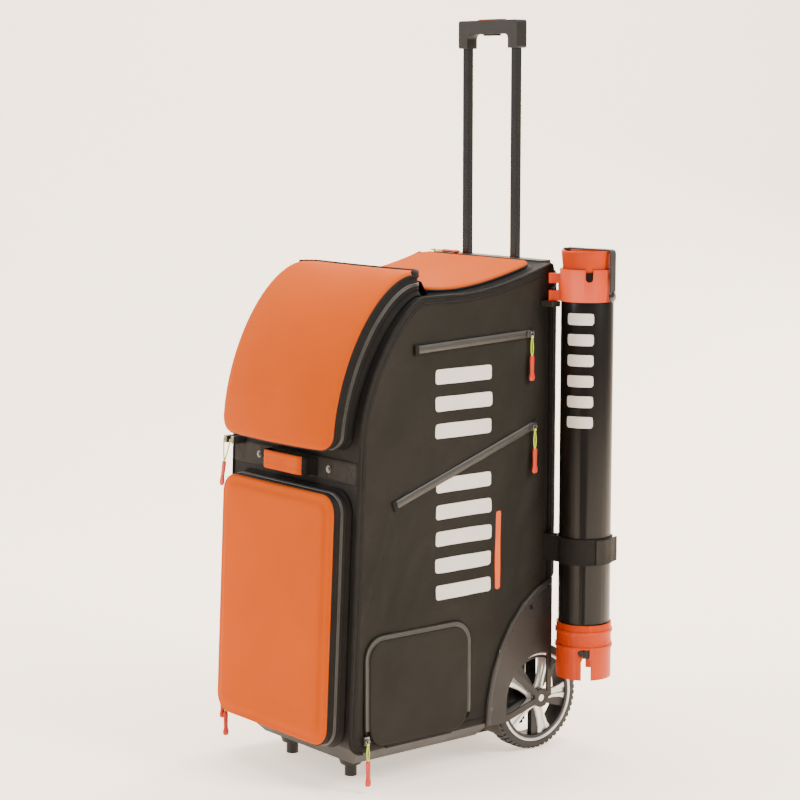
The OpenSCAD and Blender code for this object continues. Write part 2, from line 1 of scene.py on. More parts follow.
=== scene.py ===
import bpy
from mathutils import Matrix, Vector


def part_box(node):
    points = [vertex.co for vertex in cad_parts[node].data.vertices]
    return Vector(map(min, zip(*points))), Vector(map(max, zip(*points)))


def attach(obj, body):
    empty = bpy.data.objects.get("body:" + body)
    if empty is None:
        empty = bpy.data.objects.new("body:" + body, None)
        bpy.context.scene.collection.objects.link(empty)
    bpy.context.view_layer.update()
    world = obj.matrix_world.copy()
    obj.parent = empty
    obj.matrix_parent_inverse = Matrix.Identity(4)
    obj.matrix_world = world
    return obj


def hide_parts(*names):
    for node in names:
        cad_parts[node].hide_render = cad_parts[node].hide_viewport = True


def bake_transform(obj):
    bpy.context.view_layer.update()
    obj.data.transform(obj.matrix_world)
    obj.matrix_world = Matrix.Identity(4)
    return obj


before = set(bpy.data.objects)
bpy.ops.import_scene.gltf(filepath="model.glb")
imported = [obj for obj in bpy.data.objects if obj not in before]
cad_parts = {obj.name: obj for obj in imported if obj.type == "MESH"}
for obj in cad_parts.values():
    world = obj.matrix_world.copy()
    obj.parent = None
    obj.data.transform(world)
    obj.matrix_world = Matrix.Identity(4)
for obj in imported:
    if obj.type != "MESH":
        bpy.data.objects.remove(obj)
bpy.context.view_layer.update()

import math

import bmesh
import bpy
import numpy as np
from mathutils import Vector, noise
from mathutils.geometry import delaunay_2d_cdt

# ---- the bag's own frame ----
# Shapes are worked out in millimetres around the bag's centre line, like the CAD,
# and to_row() turns them into metres in the row's frame.
AXLE_Y, WHEEL_Z = 178, 91
HALF_W = 172
BASE_Z, TOP_Z, REAR_Y = 65, 785, 197
FRONT_Y, LEAN = -228, math.radians(2.74)
ORIGIN_X = (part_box("side_panel_left")[0][0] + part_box("side_panel_right")[1][0]) / 2
ORIGIN_Y = (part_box("axle")[0][1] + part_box("axle")[1][1]) / 2 - AXLE_Y / 1000
BALL_X, BALL_Y, BALL_R = 225, 227, 43.5     # the ball tube's centre and radius
SIDES = (("right", 1), ("left", -1))
SHEET, EDGE_W = 4.6, 167     # thickness of the bag's fabric, half the width of its front and top


def to_row(p):
    return (p[0] / 1000 + ORIGIN_X, p[1] / 1000 + ORIGIN_Y, p[2] / 1000)


# ---- materials ----
def fill(tree, node, inputs):
    """Sets a node's inputs, or links them where the value is another node's output."""
    for socket, value in inputs.items():
        if isinstance(value, bpy.types.NodeSocket):
            tree.links.new(value, node.inputs[socket])
        else:
            node.inputs[socket].default_value = value
    return node


def add_node(tree, kind, inputs, **settings):
    node = tree.nodes.new("ShaderNode" + kind)
    for key, value in settings.items():
        setattr(node, key, value)
    return fill(tree, node, inputs)


def blend_colour(tree, factor, dark, light):
    ramp = add_node(tree, "ValToRGB", {"Fac": factor})
    for element, position, colour in zip(ramp.color_ramp.elements, (0.3, 0.7), (dark, light)):
        element.position, element.color = position, (*colour, 1)
    return ramp.outputs["Color"]


WAVE_SCALE = 0.31416     # the wave node repeats every 0.31416 / Scale metres


def wave(tree, where, axis, period):
    inputs = {"Scale": WAVE_SCALE / period, "Distortion": 0.4, "Detail": 1, "Detail Scale": 2, "Vector": where}
    return add_node(tree, "TexWave", inputs, bands_direction=axis).outputs["Fac"]


def noise_at(tree, where, scale, detail=4):
    return add_node(tree, "TexNoise", {"Scale": scale, "Detail": detail, "Vector": where}).outputs["Fac"]


def maths(tree, kind, a, b):
    return add_node(tree, "Math", {0: a, 1: b}, operation=kind).outputs[0]


def surface(name, colour, rough, spread=0.2, mottle=14, weave=0, grain=0, grain_scale=900, depth=0.0002,
            metallic=0, specular=0.5, sheen=0, coat=0, wear=0, rough_spread=0.12, brushed=0, glow=0):
    """A procedural material. weave is a thread period in metres, grain the strength of a fine noise,
    wear the lightening of convex edges, glow an even light of its own."""
    mat = bpy.data.materials.new(name)
    mat.use_nodes = True
    tree = mat.node_tree
    place = add_node(tree, "TexCoord", {}).outputs
    where = place["UV"] if weave else place["Object"]
    dark = [c * (1 - spread) for c in colour]
    light = [min(1, c * (1 + spread)) for c in colour]
    tint = blend_colour(tree, noise_at(tree, place["Object"], mottle), dark, light)
    height = None
    if weave:
        height = maths(tree, "MULTIPLY", wave(tree, where, "X", weave), wave(tree, where, "Y", weave))
        threads = blend_colour(tree, height, (0.55, 0.55, 0.55), (1, 1, 1))
        tint = add_node(tree, "Mix", {"Factor": 0.55, "A": tint, "B": threads}, data_type="RGBA",
                        blend_type="MULTIPLY").outputs["Result"]
    if brushed:
        stretch = add_node(tree, "Mapping", {"Scale": (1, 1, 0.04), "Vector": where})
        streak = noise_at(tree, stretch.outputs["Vector"], brushed)
        height = streak if height is None else maths(tree, "ADD", height, streak)
    if grain:
        fine = maths(tree, "MULTIPLY", noise_at(tree, place["Object"], grain_scale, 2), grain)
        height = fine if height is None else maths(tree, "ADD", height, fine)
    if wear:
        edge = add_node(tree, "NewGeometry", {}).outputs["Pointiness"]
        mask = add_node(tree, "MapRange", {"From Min": 0.53, "From Max": 0.62, "To Max": wear, "Value": edge})
        worn = (*[min(1, c * 1.7 + 0.03) for c in colour], 1)
        tint = add_node(tree, "Mix", {"Factor": mask.outputs["Result"], "A": tint, "B": worn},
                        data_type="RGBA").outputs["Result"]
    patch = noise_at(tree, place["Object"], mottle * 2.3)
    gloss = add_node(tree, "MapRange", {"To Min": max(0.02, rough - rough_spread),
                                        "To Max": min(1, rough + rough_spread), "Value": patch})
    shader = fill(tree, tree.nodes["Principled BSDF"], {
        "Metallic": metallic, "Specular IOR Level": specular, "Sheen Weight": sheen, "Sheen Roughness": 0.45,
        "Coat Weight": coat, "Coat Roughness": 0.12, "Emission Color": (*colour, 1), "Emission Strength": glow,
        "Base Color": tint, "Roughness": gloss.outputs["Result"]})
    if height is not None:
        bump = add_node(tree, "Bump", {"Strength": 0.7, "Distance": depth, "Height": height})
        fill(tree, shader, {"Normal": bump.outputs["Normal"]})
    return mat


NYLON = surface("nylon_oxford", (0.016, 0.0145, 0.0112), 0.62, 0.32, 5, weave=0.0011, grain=0.3, depth=0.00014,
                specular=0.16)
NYLON_BODY = surface("nylon_body", (0.015, 0.0138, 0.0132), 0.6, 0.16, 11, weave=0.0011, grain=0.3, depth=0.00014,
                     specular=0.16)
BINDING = surface("webbing_black", (0.011, 0.0098, 0.0085), 0.66, 0.18, 25, weave=0.0016, grain=0.4, depth=0.0004,
                  specular=0.16)
CHARCOAL = surface("webbing_charcoal", (0.022, 0.019, 0.016), 0.6, 0.16, 25, weave=0.002, grain=0.4, depth=0.0004,
                   specular=0.2)
MESH_PAD = surface("spacer_mesh", (0.028, 0.028, 0.03), 0.75, 0.15, 20, weave=0.0032, grain=0.5, depth=0.0009,
                   specular=0.2)
# The zips' coated tape. Its colour is painted lighter than the other blacks, a painted highlight along every zip
# line.
ZIP_COAT_PAINTED_HIGHLIGHT = surface("coated_zip_painted_highlight", (0.034, 0.032, 0.028), 0.42, 0.15, 30, grain=0.5, grain_scale=500, depth=0.0001,
                   specular=0.45)
EVA = surface("moulded_knit_orange", (0.56, 0.082, 0.0), 0.7, 0.04, 7, weave=0.0009, grain=0.5, grain_scale=1400,
              depth=0.00016, specular=0.05)
PAD_ORANGE = surface("pad_orange", (0.56, 0.08, 0.0), 0.7, 0.08, 30, weave=0.0013, grain=0.5,
                     specular=0.08)
THREAD = surface("thread_black", (0.016, 0.016, 0.017), 0.6, 0.2, 60, grain=0.6, grain_scale=3000, depth=0.0001)
CORD = surface("cord_yellow_green", (0.5, 0.6, 0.02), 0.55, 0.25, 90, grain=1, grain_scale=1800, depth=0.0004,
               sheen=0.3)
TAB = surface("tab_red_orange", (0.5, 0.022, 0.0), 0.42, 0.08, 40, grain=0.5, grain_scale=1500, depth=0.00008,
              wear=0.3, coat=0.1)
PLASTIC = surface("moulded_black", (0.02, 0.0185, 0.0165), 0.48, 0.14, 12, grain=1, grain_scale=1600, depth=0.00012,
                  specular=0.35, wear=0.35)
DARK = surface("inner_black", (0.012, 0.012, 0.013), 0.55, 0.2, 15, grain=1, grain_scale=900, depth=0.0001)
GLOSS = surface("gloss_black", (0.008, 0.008, 0.009), 0.16, 0.2, 18, grain=0.25, grain_scale=300, depth=0.00004,
                coat=0.4, rough_spread=0.05)
ANODISED = surface("anodised_black", (0.01, 0.0098, 0.0095), 0.17, 0.15, 20, grain=0.15, depth=0.00002, coat=0.6,
                   rough_spread=0.05, brushed=1500)
TUBE = surface("tube_satin_black", (0.004, 0.003, 0.0022), 0.33, 0.1, 12, grain=0.4, grain_scale=1200,
               depth=0.00002, specular=0.28, rough_spread=0.02)
ORANGE = surface("moulded_orange", (0.46, 0.036, 0.0), 0.4, 0.06, 16, grain=0.5, grain_scale=900, depth=0.00006,
                 specular=0.2, wear=0.25, rough_spread=0.06)
SILVER = surface("silver_paint", (0.62, 0.62, 0.62), 0.33, 0.08, 20, grain=0.8, grain_scale=2200, depth=0.00005,
                 metallic=0.75, wear=0.2)
STEEL = surface("brushed_steel", (0.55, 0.55, 0.56), 0.32, 0.1, 25, metallic=1, brushed=900, depth=0.00005)
ZIP_METAL = surface("zip_metal", (0.17, 0.165, 0.16), 0.3, 0.15, 60, grain=0.5, grain_scale=1500, depth=0.00006,
                    metallic=0.9, wear=0.4)
RUBBER = surface("tyre_rubber", (0.013, 0.013, 0.013), 0.62, 0.25, 18, grain=1, grain_scale=700, depth=0.0002,
                 wear=0.25)
SATIN = surface("satin_black", (0.008, 0.0072, 0.0065), 0.45, 0.15, 18, grain=1, grain_scale=1600, depth=0.0001,
                specular=0.3, wear=0.3)
PRINT = surface("print_white", (0.86, 0.82, 0.76), 0.55, 0.04, 18, weave=0.0011, grain=0.3, specular=0.3)
PRINT_ORANGE = surface("print_orange", (0.85, 0.12, 0.02), 0.55, 0.05, 18, weave=0.0011, grain=0.3, specular=0.3)


# ---- mesh helpers ----
def new_object(name, data):
    made = bpy.data.objects.new(name, data)
    bpy.context.scene.collection.objects.link(made)
    return made


def add_piece(name, points, faces, uvs, body, material, replaces=(), smooth=True):
    """Makes a piece from millimetre points. uvs, if any, holds a (u, v) in metres for each corner of each face."""
    mesh = bpy.data.meshes.new(name)
    mesh.from_pydata([to_row(p) for p in points], [], faces)
    layer = mesh.uv_layers.new(name="UVMap")
    if uvs is None:
        uvs = [(0.0, 0.0)] * sum(len(face) for face in faces)
    layer.data.foreach_set("uv", np.array(uvs, float).ravel())
    work = bmesh.new()
    work.from_mesh(mesh)
    bmesh.ops.recalc_face_normals(work, faces=work.faces)
    work.to_mesh(mesh)
    work.free()
    mesh.materials.append(material)
    mesh.shade_smooth() if smooth else mesh.shade_flat()
    piece = new_object(name, mesh)
    if body:
        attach(piece, body)
    if replaces:
        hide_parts(*replaces)
    return piece


def crease(piece, angle=35):
    """Smooth shading that keeps the edges sharper than the angle."""
    work = bmesh.new()
    work.from_mesh(piece.data)
    for edge in work.edges:
        edge.smooth = len(edge.link_faces) == 2 and edge.calc_face_angle(0) < math.radians(angle)
    work.to_mesh(piece.data)
    work.free()
    return piece


def resample(line, step, closed=True):
    pts = np.array(line, float)
    if closed:
        pts = np.vstack([pts, pts[:1]])
    gaps = np.linalg.norm(np.diff(pts, axis=0), axis=1)
    pts = pts[np.append(True, gaps > 1e-6)]
    along = np.append(0, np.cumsum(gaps[gaps > 1e-6]))
    count = max(3, round(along[-1] / step))
    at = np.linspace(0, along[-1], count + (0 if closed else 1), endpoint=not closed)
    return np.column_stack([np.interp(at, along, pts[:, k]) for k in range(pts.shape[1])])


def open_line(line, step):
    return resample(line, step, closed=False)


def length_of(line):
    return float(np.sum(np.linalg.norm(np.diff(line, axis=0), axis=1)))


def part_of(path, keep):
    """The points of a closed path that keep() takes, in order from one end to the other."""
    part = np.array([p for p in path if keep(p)])
    start = int(np.argmax(np.linalg.norm(part - np.roll(part, 1, axis=0), axis=1)))
    return np.roll(part, -start, axis=0)


def grid_faces(rows, columns, wrap_rows=True, wrap_columns=True):
    """The four-sided faces between rows of points, with the (row, column) of their corners."""
    faces, corners = [], []
    for i in range(rows if wrap_rows else rows - 1):
        for j in range(columns if wrap_columns else columns - 1):
            k, e = (j + 1) % columns, (i + 1) % rows
            faces.append((i * columns + j, i * columns + k, e * columns + k, e * columns + j))
            corners += [(i, j), (i, j + 1), (i + 1, j + 1), (i + 1, j)]
    return faces, corners


def inside(points, ring):
    x, y = points[:, :1], points[:, 1:2]
    a, b = ring, np.roll(ring, -1, axis=0)
    rise = np.where(a[:, 1] == b[:, 1], 1e-9, b[:, 1] - a[:, 1])
    crosses = (a[:, 1] > y) != (b[:, 1] > y)
    left = x < a[:, 0] + (y - a[:, 1]) * (b[:, 0] - a[:, 0]) / rise
    return np.sum(crosses & left, axis=1) % 2 == 1


def distance(points, ring):
    """How far each point is from a closed ring."""
    a, b = ring[None], np.roll(ring, -1, axis=0)[None]
    p = points[:, None]
    t = np.clip(np.sum((p - a) * (b - a), axis=2) / np.maximum(np.sum((b - a) ** 2, axis=2), 1e-9), 0, 1)
    return np.min(np.linalg.norm(p - a - t[..., None] * (b - a), axis=2), axis=1)


def offset_ring(ring, inset):
    """The ring moved inwards by the inset, without points that fall too near it."""
    area = np.sum(ring[:, 0] * np.roll(ring[:, 1], -1) - np.roll(ring[:, 0], -1) * ring[:, 1])
    along = np.roll(ring, -1, axis=0) - np.roll(ring, 1, axis=0)
    along /= np.maximum(np.linalg.norm(along, axis=1, keepdims=True), 1e-9)
    inward = np.column_stack([-along[:, 1], along[:, 0]]) * np.sign(area)
    moved = ring + inward * inset
    return moved[distance(moved, ring) > abs(inset) * 0.9]


def round_rect(x0, y0, x1, y1, r, n=7):
    out = []
    for cx, cy, start in ((x1 - r, y0 + r, -90), (x1 - r, y1 - r, 0), (x0 + r, y1 - r, 90), (x0 + r, y0 + r, 180)):
        for i in range(n + 1):
            a = math.radians(start + 90 * i / n)
            out.append((cx + r * math.cos(a), cy + r * math.sin(a)))
    return np.array(out)


def panel(name, outline, place, thick, material, body="bag", step=8, holes=(), insets=(), profile=None,
          relief=None, replaces=(), fade=20):
    """A sheet over an outline in (u, v) millimetres. place(u, v, h) puts it in the bag's frame, profile(d)
    lowers its face near the edge, and relief(u, v) adds folds that fade out towards the edge."""
    rings = [resample(outline, step)] + [resample(hole, step) for hole in holes]
    extra = [offset_ring(ring, inset if i == 0 else -inset) for i, ring in enumerate(rings) for inset in insets]
    low, high = rings[0].min(axis=0), rings[0].max(axis=0)
    rows = np.arange(low[1], high[1], step * 0.87)
    grid = np.array([(x + (i % 2) * step / 2, y) for i, y in enumerate(rows)
                     for x in np.arange(low[0], high[0], step)])
    keep = inside(grid, rings[0])
    for i, ring in enumerate(rings):
        keep &= distance(grid, ring) > (max(insets, default=0) + step * 0.45)
        if i:
            keep &= ~inside(grid, ring)
    edges, count = [], 0
    for ring in rings:
        edges += [(count + i, count + (i + 1) % len(ring)) for i in range(len(ring))]
        count += len(ring)
    flat = np.vstack(rings + [e for e in extra if len(e)] + [grid[keep]])
    verts, _, tris, _, _, _ = delaunay_2d_cdt([Vector(p) for p in flat], edges, [], 0, 1e-5)
    flat = np.array([tuple(v) for v in verts])
    tris = np.array(tris)
    middle = flat[tris].mean(axis=1)
    good = inside(middle, rings[0])
    for ring in rings[1:]:
        good &= ~inside(middle, ring)
    tris = tris[good]
    depth = np.min([distance(flat, ring) for ring in rings], axis=0)
    heights = np.zeros(len(flat))
    if profile:
        heights += np.array([profile(d) for d in depth])
    if relief:
        heights += np.array([relief(u, v) for u, v in flat]) * np.clip(depth / fade, 0, 1)
    n = len(flat)
    points = [place(u, v, h) for (u, v), h in zip(flat, heights)]
    points += [place(u, v, min(-thick, h - 0.4)) for (u, v), h in zip(flat, heights)]
    faces = [tuple(t) for t in tris] + [(t[0] + n, t[2] + n, t[1] + n) for t in tris]
    seen = {}
    for a, b, c in tris:
        for edge in ((a, b), (b, c), (c, a)):
            seen[edge] = 1
    rim = [edge for edge in seen if (edge[1], edge[0]) not in seen]
    uv = flat / 1000
    uvs = [uv[k % n] for face in faces for k in face]
    for a, b in rim:
        faces.append((b, a, a + n, b + n))
        uvs += [uv[b], uv[a], uv[a] + thick / 1000, uv[b] + thick / 1000]
    used = sorted({k for face in faces for k in face})
    index = {k: i for i, k in enumerate(used)}
    faces = [tuple(index[k] for k in face) for face in faces]
    crease(add_piece(name, [points[k] for k in used], faces, uvs, body, material, replaces), 50)


def unit(v):
    return v / max(np.linalg.norm(v), 1e-9)


def path_frames(at, ups, closed):
    frames = []
    for i, p in enumerate(at):
        before = at[i - 1] if i or closed else at[0]
        after = at[(i + 1) % len(at)] if i + 1 < len(at) or closed else at[-1]
        along = unit(after - before)
        across = unit(np.cross(along, ups[i]))
        frames.append((p, across, np.cross(across, along)))
    return frames


def surface_frames(path, place, closed=False, lift=0.0):
    """(origin, across, outward) at each (u, v) of a path on a placed surface."""
    at = [np.array(place(u, v, lift), float) for u, v in path]
    ups = [unit(np.array(place(u, v, lift + 1), float) - p) for (u, v), p in zip(path, at)]
    return path_frames(at, ups, closed)


def free_frames(path, up, closed=False):
    """(origin, across, up) along a path in space."""
    return path_frames([np.array(p, float) for p in path], [np.array(up, float)] * len(path), closed)


def sweep(name, frames, profile, material=BINDING, body="bag", closed=False, replaces=(), sharp=40,
          sizes=None):
    """A closed profile of (across, up) points carried along the frames. sizes scales it at each frame."""
    n, m = len(frames), len(profile)
    points = []
    for i, (o, across, up) in enumerate(frames):
        sx, sy = sizes[i] if sizes is not None else (1, 1)
        points += [o + across * a * sx + up * b * sy for a, b in profile]
    walk = np.append(0, np.cumsum([np.linalg.norm(frames[(i + 1) % n][0] - frames[i][0]) for i in range(n)])) / 1000
    loop = [*profile, profile[0]]
    round_it = np.append(0, np.cumsum([math.dist(loop[j], loop[j + 1]) for j in range(m)])) / 1000
    faces, corners = grid_faces(n, m, closed)
    uvs = [(walk[i], round_it[j]) for i, j in corners]
    if not closed:
        for start in (0, (n - 1) * m):
            faces.append(tuple(range(start, start + m)))
            uvs += [(a / 1000, b / 1000) for a, b in profile]
    piece = add_piece(name, points, faces, uvs, body, material, replaces)
    return crease(piece, sharp)


def circle(r, n=10):
    return [(r * math.cos(2 * math.pi * i / n), r * math.sin(2 * math.pi * i / n)) for i in range(n)]


def join(name, pieces):
    """Makes one piece of several that share a body and a material."""
    work = bmesh.new()
    for piece in pieces:
        work.from_mesh(piece.data)
    work.to_mesh(pieces[0].data)
    work.free()
    pieces[0].name = name
    for piece in pieces[1:]:
        bpy.data.objects.remove(piece)
    return pieces[0]


STITCH_PITCH, STITCH_REACH, STITCH_HALF_WIDTH, STITCH_HEIGHT = 3.6, 1.25, 0.35, 0.45


def stitches(name, paths, place, lift=0.0, material=THREAD):
    """Rows of raised stitches along (u, v) paths on a placed surface."""
    points, faces = [], []
    for path in paths:
        for o, across, up in surface_frames(open_line(path, STITCH_PITCH), place, lift=lift):
            along = np.cross(up, across)
            base = len(points)
            for s, w in ((-1, 0.35), (-0.6, 1), (0.6, 1), (1, 0.35)):
                mid = o + along * s * STITCH_REACH
                half = across * w * STITCH_HALF_WIDTH
                top = up * (STITCH_HEIGHT if abs(s) < 1 else 0.05)
                points += [mid - half - up * 0.2, mid + top, mid + half - up * 0.2]
            for k in range(3):
                for j in range(3):
                    a, b = base + k * 3 + j, base + k * 3 + (j + 1) % 3
                    faces.append((a, b, b + 3, a + 3))
            faces += [(base, base + 1, base + 2), (base + 9, base + 10, base + 11)]
    add_piece(name, points, faces, None, "bag", material)


def fold(u, v, start, end, width, height):
    """A soft ridge along a line, dying out at both ends."""
    ax, ay = end[0] - start[0], end[1] - start[1]
    size = math.hypot(ax, ay)
    t = ((u - start[0]) * ax + (v - start[1]) * ay) / size ** 2
    d = ((u - start[0]) * ay - (v - start[1]) * ax) / size
    if not -0.3 < t < 1.3:
        return 0.0
    return height * math.exp(-(d / width) ** 2) * math.exp(-(max(0, -t, t - 1) * 6) ** 2) * math.sin(
        math.pi * min(1, max(0.12, (t + 0.3) / 1.6)))


def ripple(u, v, scale, angle, stretch, seed):
    """Noise drawn out along an angle, from -1 to 1."""
    c, s = math.cos(math.radians(angle)), math.sin(math.radians(angle))
    return noise.noise(Vector(((u * c + v * s) / (scale * stretch), (v * c - u * s) / scale, seed)))


# ---- surfaces of the bag ----
def curve_point(centre, a, b, power, degrees):
    t = math.radians(degrees)
    return (centre[0] - a * max(0, math.cos(t)) ** (2 / power), centre[1] + b * max(0, math.sin(t)) ** (2 / power))


def front_at(z):
    return FRONT_Y + (z - 90) * math.tan(LEAN)


def top_at(y):
    return TOP_Z + 38 * (max(y, 0) / 188) ** 1.6


SHOULDER = (-76, 570)
SHOULDER_A = SHOULDER[0] - front_at(SHOULDER[1])
toe_line = [(FRONT_Y + 25 - 25 * math.cos(math.radians(a)), BASE_Z + 25 - 25 * math.sin(math.radians(a)))
            for a in range(90, -1, -10)]
shoulder_line = [curve_point(SHOULDER, SHOULDER_A, TOP_Z - SHOULDER[1], 1.5, a) for a in range(0, 91, 3)]
top_line = [(y, top_at(y)) for y in np.linspace(-70, REAR_Y, 24)]
FRONT_PATH = open_line([(-150, BASE_Z), *toe_line, *shoulder_line], 2)
FRONT_S = np.append(0, np.cumsum(np.linalg.norm(np.diff(FRONT_PATH, axis=0), axis=1)))
FRONT_TAN = np.gradient(FRONT_PATH, axis=0)


def side_place(sign):
    return lambda y, z, h: (sign * (HALF_W + h), y, z)


def front_place(x, s, h):
    y, z = (np.interp(s, FRONT_S, FRONT_PATH[:, k]) for k in (0, 1))
    t = unit(np.array([np.interp(s, FRONT_S, FRONT_TAN[:, k]) for k in (0, 1)]))
    return (x, y - t[1] * h, z + t[0] * h)


def s_of_z(z):
    """Distance along the front for a height, above the toe."""
    return float(np.interp(z, FRONT_PATH[10:, 1], FRONT_S[10:]))


def s_of_y(y):
    high = FRONT_PATH[:, 1] > 600
    return float(np.interp(y, FRONT_PATH[high, 0], FRONT_S[high]))


def lean_place(x, v, h):
    return (x, FRONT_Y - h * math.cos(LEAN) + v * math.sin(LEAN), 90 + h * math.sin(LEAN) + v * math.cos(LEAN))


def top_place(x, y, h):
    return (x, y, top_at(y) + h)


def back_at(x):
    return 197 + 29 * (1 - (min(abs(x), HALF_W) / HALF_W) ** 4)


def back_place(x, z, h):
    return (x, back_at(x) + 0.3 + h, z)


def arch(d):
    """The edge over the wheel well, d inside its outermost line."""
    return [(240 - (187 - d) * math.cos(math.radians(t)), 63 + (240 - d) * math.sin(math.radians(t)))
            for t in range(1, 77, 3)]


SIDE_OUTLINE = [*toe_line, *shoulder_line, *top_line, (REAR_Y, 284), *reversed(arch(12))]

UPPER_ZIP = ((-92, 703), (152, 713))
LOWER_ZIP = ((-136, 458), (160, 560))
SIDE_FOLDS = [
    ((-136, 458), (-206, 290), 5, 1.7), ((-128, 452), (-196, 286), 5, -1.5),
    ((-120, 440), (-150, 270), 12, -1.4), ((-60, 470), (-130, 300), 14, 1.5),
    ((-20, 470), (-80, 280), 13, -1.2), ((110, 520), (40, 330), 16, 1.3), ((150, 500), (90, 300), 14, -1.3),
    ((-205, 560), (-150, 660), 16, 1.2), ((-120, 640), (-60, 740), 14, -1.0), ((-40, 640), (110, 600), 15, 1.3),
    ((-110, 520), (60, 640), 18, -1.0), ((150, 700), (60, 620), 14, 1.2), ((20, 250), (-60, 400), 13, 1.3),
    ((60, 250), (170, 330), 12, 1.1), ((30, 90), (50, 230), 12, -1.0), ((120, 760), (170, 640), 12, 1.2),
    ((-10, 300), (30, 420), 11, -1.1), ((180, 480), (120, 380), 13, 1.1), ((-190, 420), (-150, 540), 15, -0.9),
]


def side_relief(y, z):
    h = sum(fold(y, z, *item) for item in SIDE_FOLDS)
    h += 1.5 * ripple(y, z, 46, 58, 3.2, 1.7) + 0.8 * ripple(y, z, 20, 70, 3.5, 5.1)
    h += 0.8 * ripple(y, z, 95, 20, 2, 9.3)
    return max(-3.6, min(0.3, 1.5 * h - 1.3))


def roll(width, drop):
    """A rounded edge: the face drops by this much over this width."""
    return lambda d: -drop * (1 - math.sqrt(max(0, 1 - (1 - min(d / width, 1)) ** 2)))


for side, sign in SIDES:
    place = side_place(sign)
    panel(f"side_fabric_{side}", SIDE_OUTLINE, place, SHEET, NYLON, step=6, insets=(2, 5),
          profile=roll(6, 2.2), relief=side_relief, replaces=[f"side_panel_{side}"], fade=28)
    edge = open_line([*toe_line, *shoulder_line, *top_line, (REAR_Y, 284)], 5)
    sweep(f"side_piping_{side}", surface_frames(edge, place, lift=-1.0), circle(2.7, 10))
    inner = part_of(offset_ring(resample(SIDE_OUTLINE, 5), 9), lambda p: not (p[0] > 60 and p[1] < 292))
    tape = [(-3.8, -1.6), (-3.8, 0.4), (-3, 0.9), (3, 0.9), (3.8, 0.4), (3.8, -1.6)]
    sweep(f"side_binding_{side}", surface_frames(inner, place, lift=-0.6), tape)
    stitches(f"side_binding_stitch_{side}", [inner], place, lift=0.3)

# ---- front wrap ----
S_TOP = FRONT_S[-1]
pocket_hole = round_rect(-122, s_of_z(100), 122, s_of_z(455), 25)
flap_hole = round_rect(-122, s_of_z(592), 122, s_of_y(-92), 12)


def front_relief(x, s):
    h = 0.7 * ripple(x, s, 30, 80, 2.5, 3.1) + 0.5 * ripple(x, s, 14, 65, 3, 7.7)
    return max(-1.6, min(0.2, h - 0.5))


panel("front_fabric", [(-EDGE_W, 6), (EDGE_W, 6), (EDGE_W, S_TOP), (-EDGE_W, S_TOP)], front_place, SHEET,
      NYLON_BODY, step=7, holes=[pocket_hole, flap_hole], relief=front_relief,
      replaces=["front_panel"], fade=12)

band_low, band_high = 407, 443


def band_relief(x, v):
    return 0.5 * ripple(x, v, 18, 90, 2, 4.4)


panel("front_webbing", [(-EDGE_W, band_low), (EDGE_W, band_low), (EDGE_W, band_high), (-EDGE_W, band_high)],
      lambda x, v, h: lean_place(x, v, h + 1.9), 1.7, CHARCOAL, step=6, insets=(1.2,),
      profile=roll(1.5, 0.8), relief=band_relief, fade=8)
box_stitch = []
for x0 in (-164, -92, 68, 140):
    x1, low, high = x0 + 24, band_low + 4, band_high - 4
    box_stitch += [[(x0, low), (x1, low), (x1, high), (x0, high), (x0, low)], [(x0, low), (x1, high)],
                   [(x0, high), (x1, low)]]
box_stitch += [[(-165, band_low + 2), (165, band_low + 2)], [(-165, band_high - 2), (165, band_high - 2)]]
stitches("front_webbing_stitch", box_stitch, lean_place, lift=2.0)

# ---- flap ----
FLAP_C = (-57, 560)
HALF_DOOR = 150
DOOR_FACE, LID_FACE, GRAB_FACE = 42.2, 14.5, 28.4     # heights of the moulded faces and the grab handle's


def by_length(line):
    """The line as 181 evenly spaced points."""
    line = np.array(line, float)
    return open_line(line, length_of(line) / 180)


crown_line = by_length([(-263, 552), *[curve_point(FLAP_C, 206, 265, 2, a) for a in range(0, 91, 2)]])
rim_line = by_length([(-247, 552), *[curve_point((-85, 560), 162, 266, 1.7, a) for a in range(0, 91, 2)], (-57, 826)])
under_line = by_length([(front_at(552), 552), *shoulder_line, (-57, 785)])
FLAP_LEN = length_of(crown_line)
STEPS = np.linspace(0, FLAP_LEN, len(crown_line))


def on_line(line, s):
    return np.array([np.interp(s, STEPS, line[:, k]) for k in (0, 1)])


def along_line(line, x, s, h):
    """A point h off a side-view line, at the distance s along it."""
    t = unit(on_line(line, s + 2) - on_line(line, s - 2))
    y, z = on_line(line, s)
    return (x, y - t[1] * h, z + t[0] * h)


def flap_place(x, s, h):
    w = 1 - min(1, abs(x) / HALF_DOOR) ** 2.4
    return along_line(rim_line + (crown_line - rim_line) * w, x, s, h)


def under_place(x, s, h):
    return along_line(under_line, x, s, h)


def shell_profile(d):
    """The moulded edge: a tight roll and then a long soft shoulder."""
    return roll(6, 5.5)(d) - 1.8 * (1 - min(1, d / 22)) ** 2


def flap_mark(x, s):
    """Two plain bars pressed into the foam."""
    h = 0.0
    for x0, x1, s0, s1 in ((-112, 22, 78, 86), (-112, -20, 94, 99)):
        d = min(x - x0, x1 - x, s - s0, s1 - s)
        h -= 1.1 * min(1, max(0, (d + 2.5) / 3.5))
    return h


flap_ring = round_rect(-HALF_DOOR, 0, HALF_DOOR, FLAP_LEN - 1, 27)
panel("flap_shell_moulded", flap_ring, flap_place, 10.5, EVA, body="flap", step=6,
      insets=(0.8, 2, 4, 6.5, 10, 15, 21), profile=shell_profile, relief=flap_mark, replaces=["flap_shell"], fade=5)

flap_path = resample(round_rect(-HALF_DOOR + 1, 1, HALF_DOOR - 1, FLAP_LEN - 2, 26), 5)
sweep("flap_piping", surface_frames(flap_path, flap_place, True, -8.5), circle(3.0, 10),
      body="flap", closed=True)


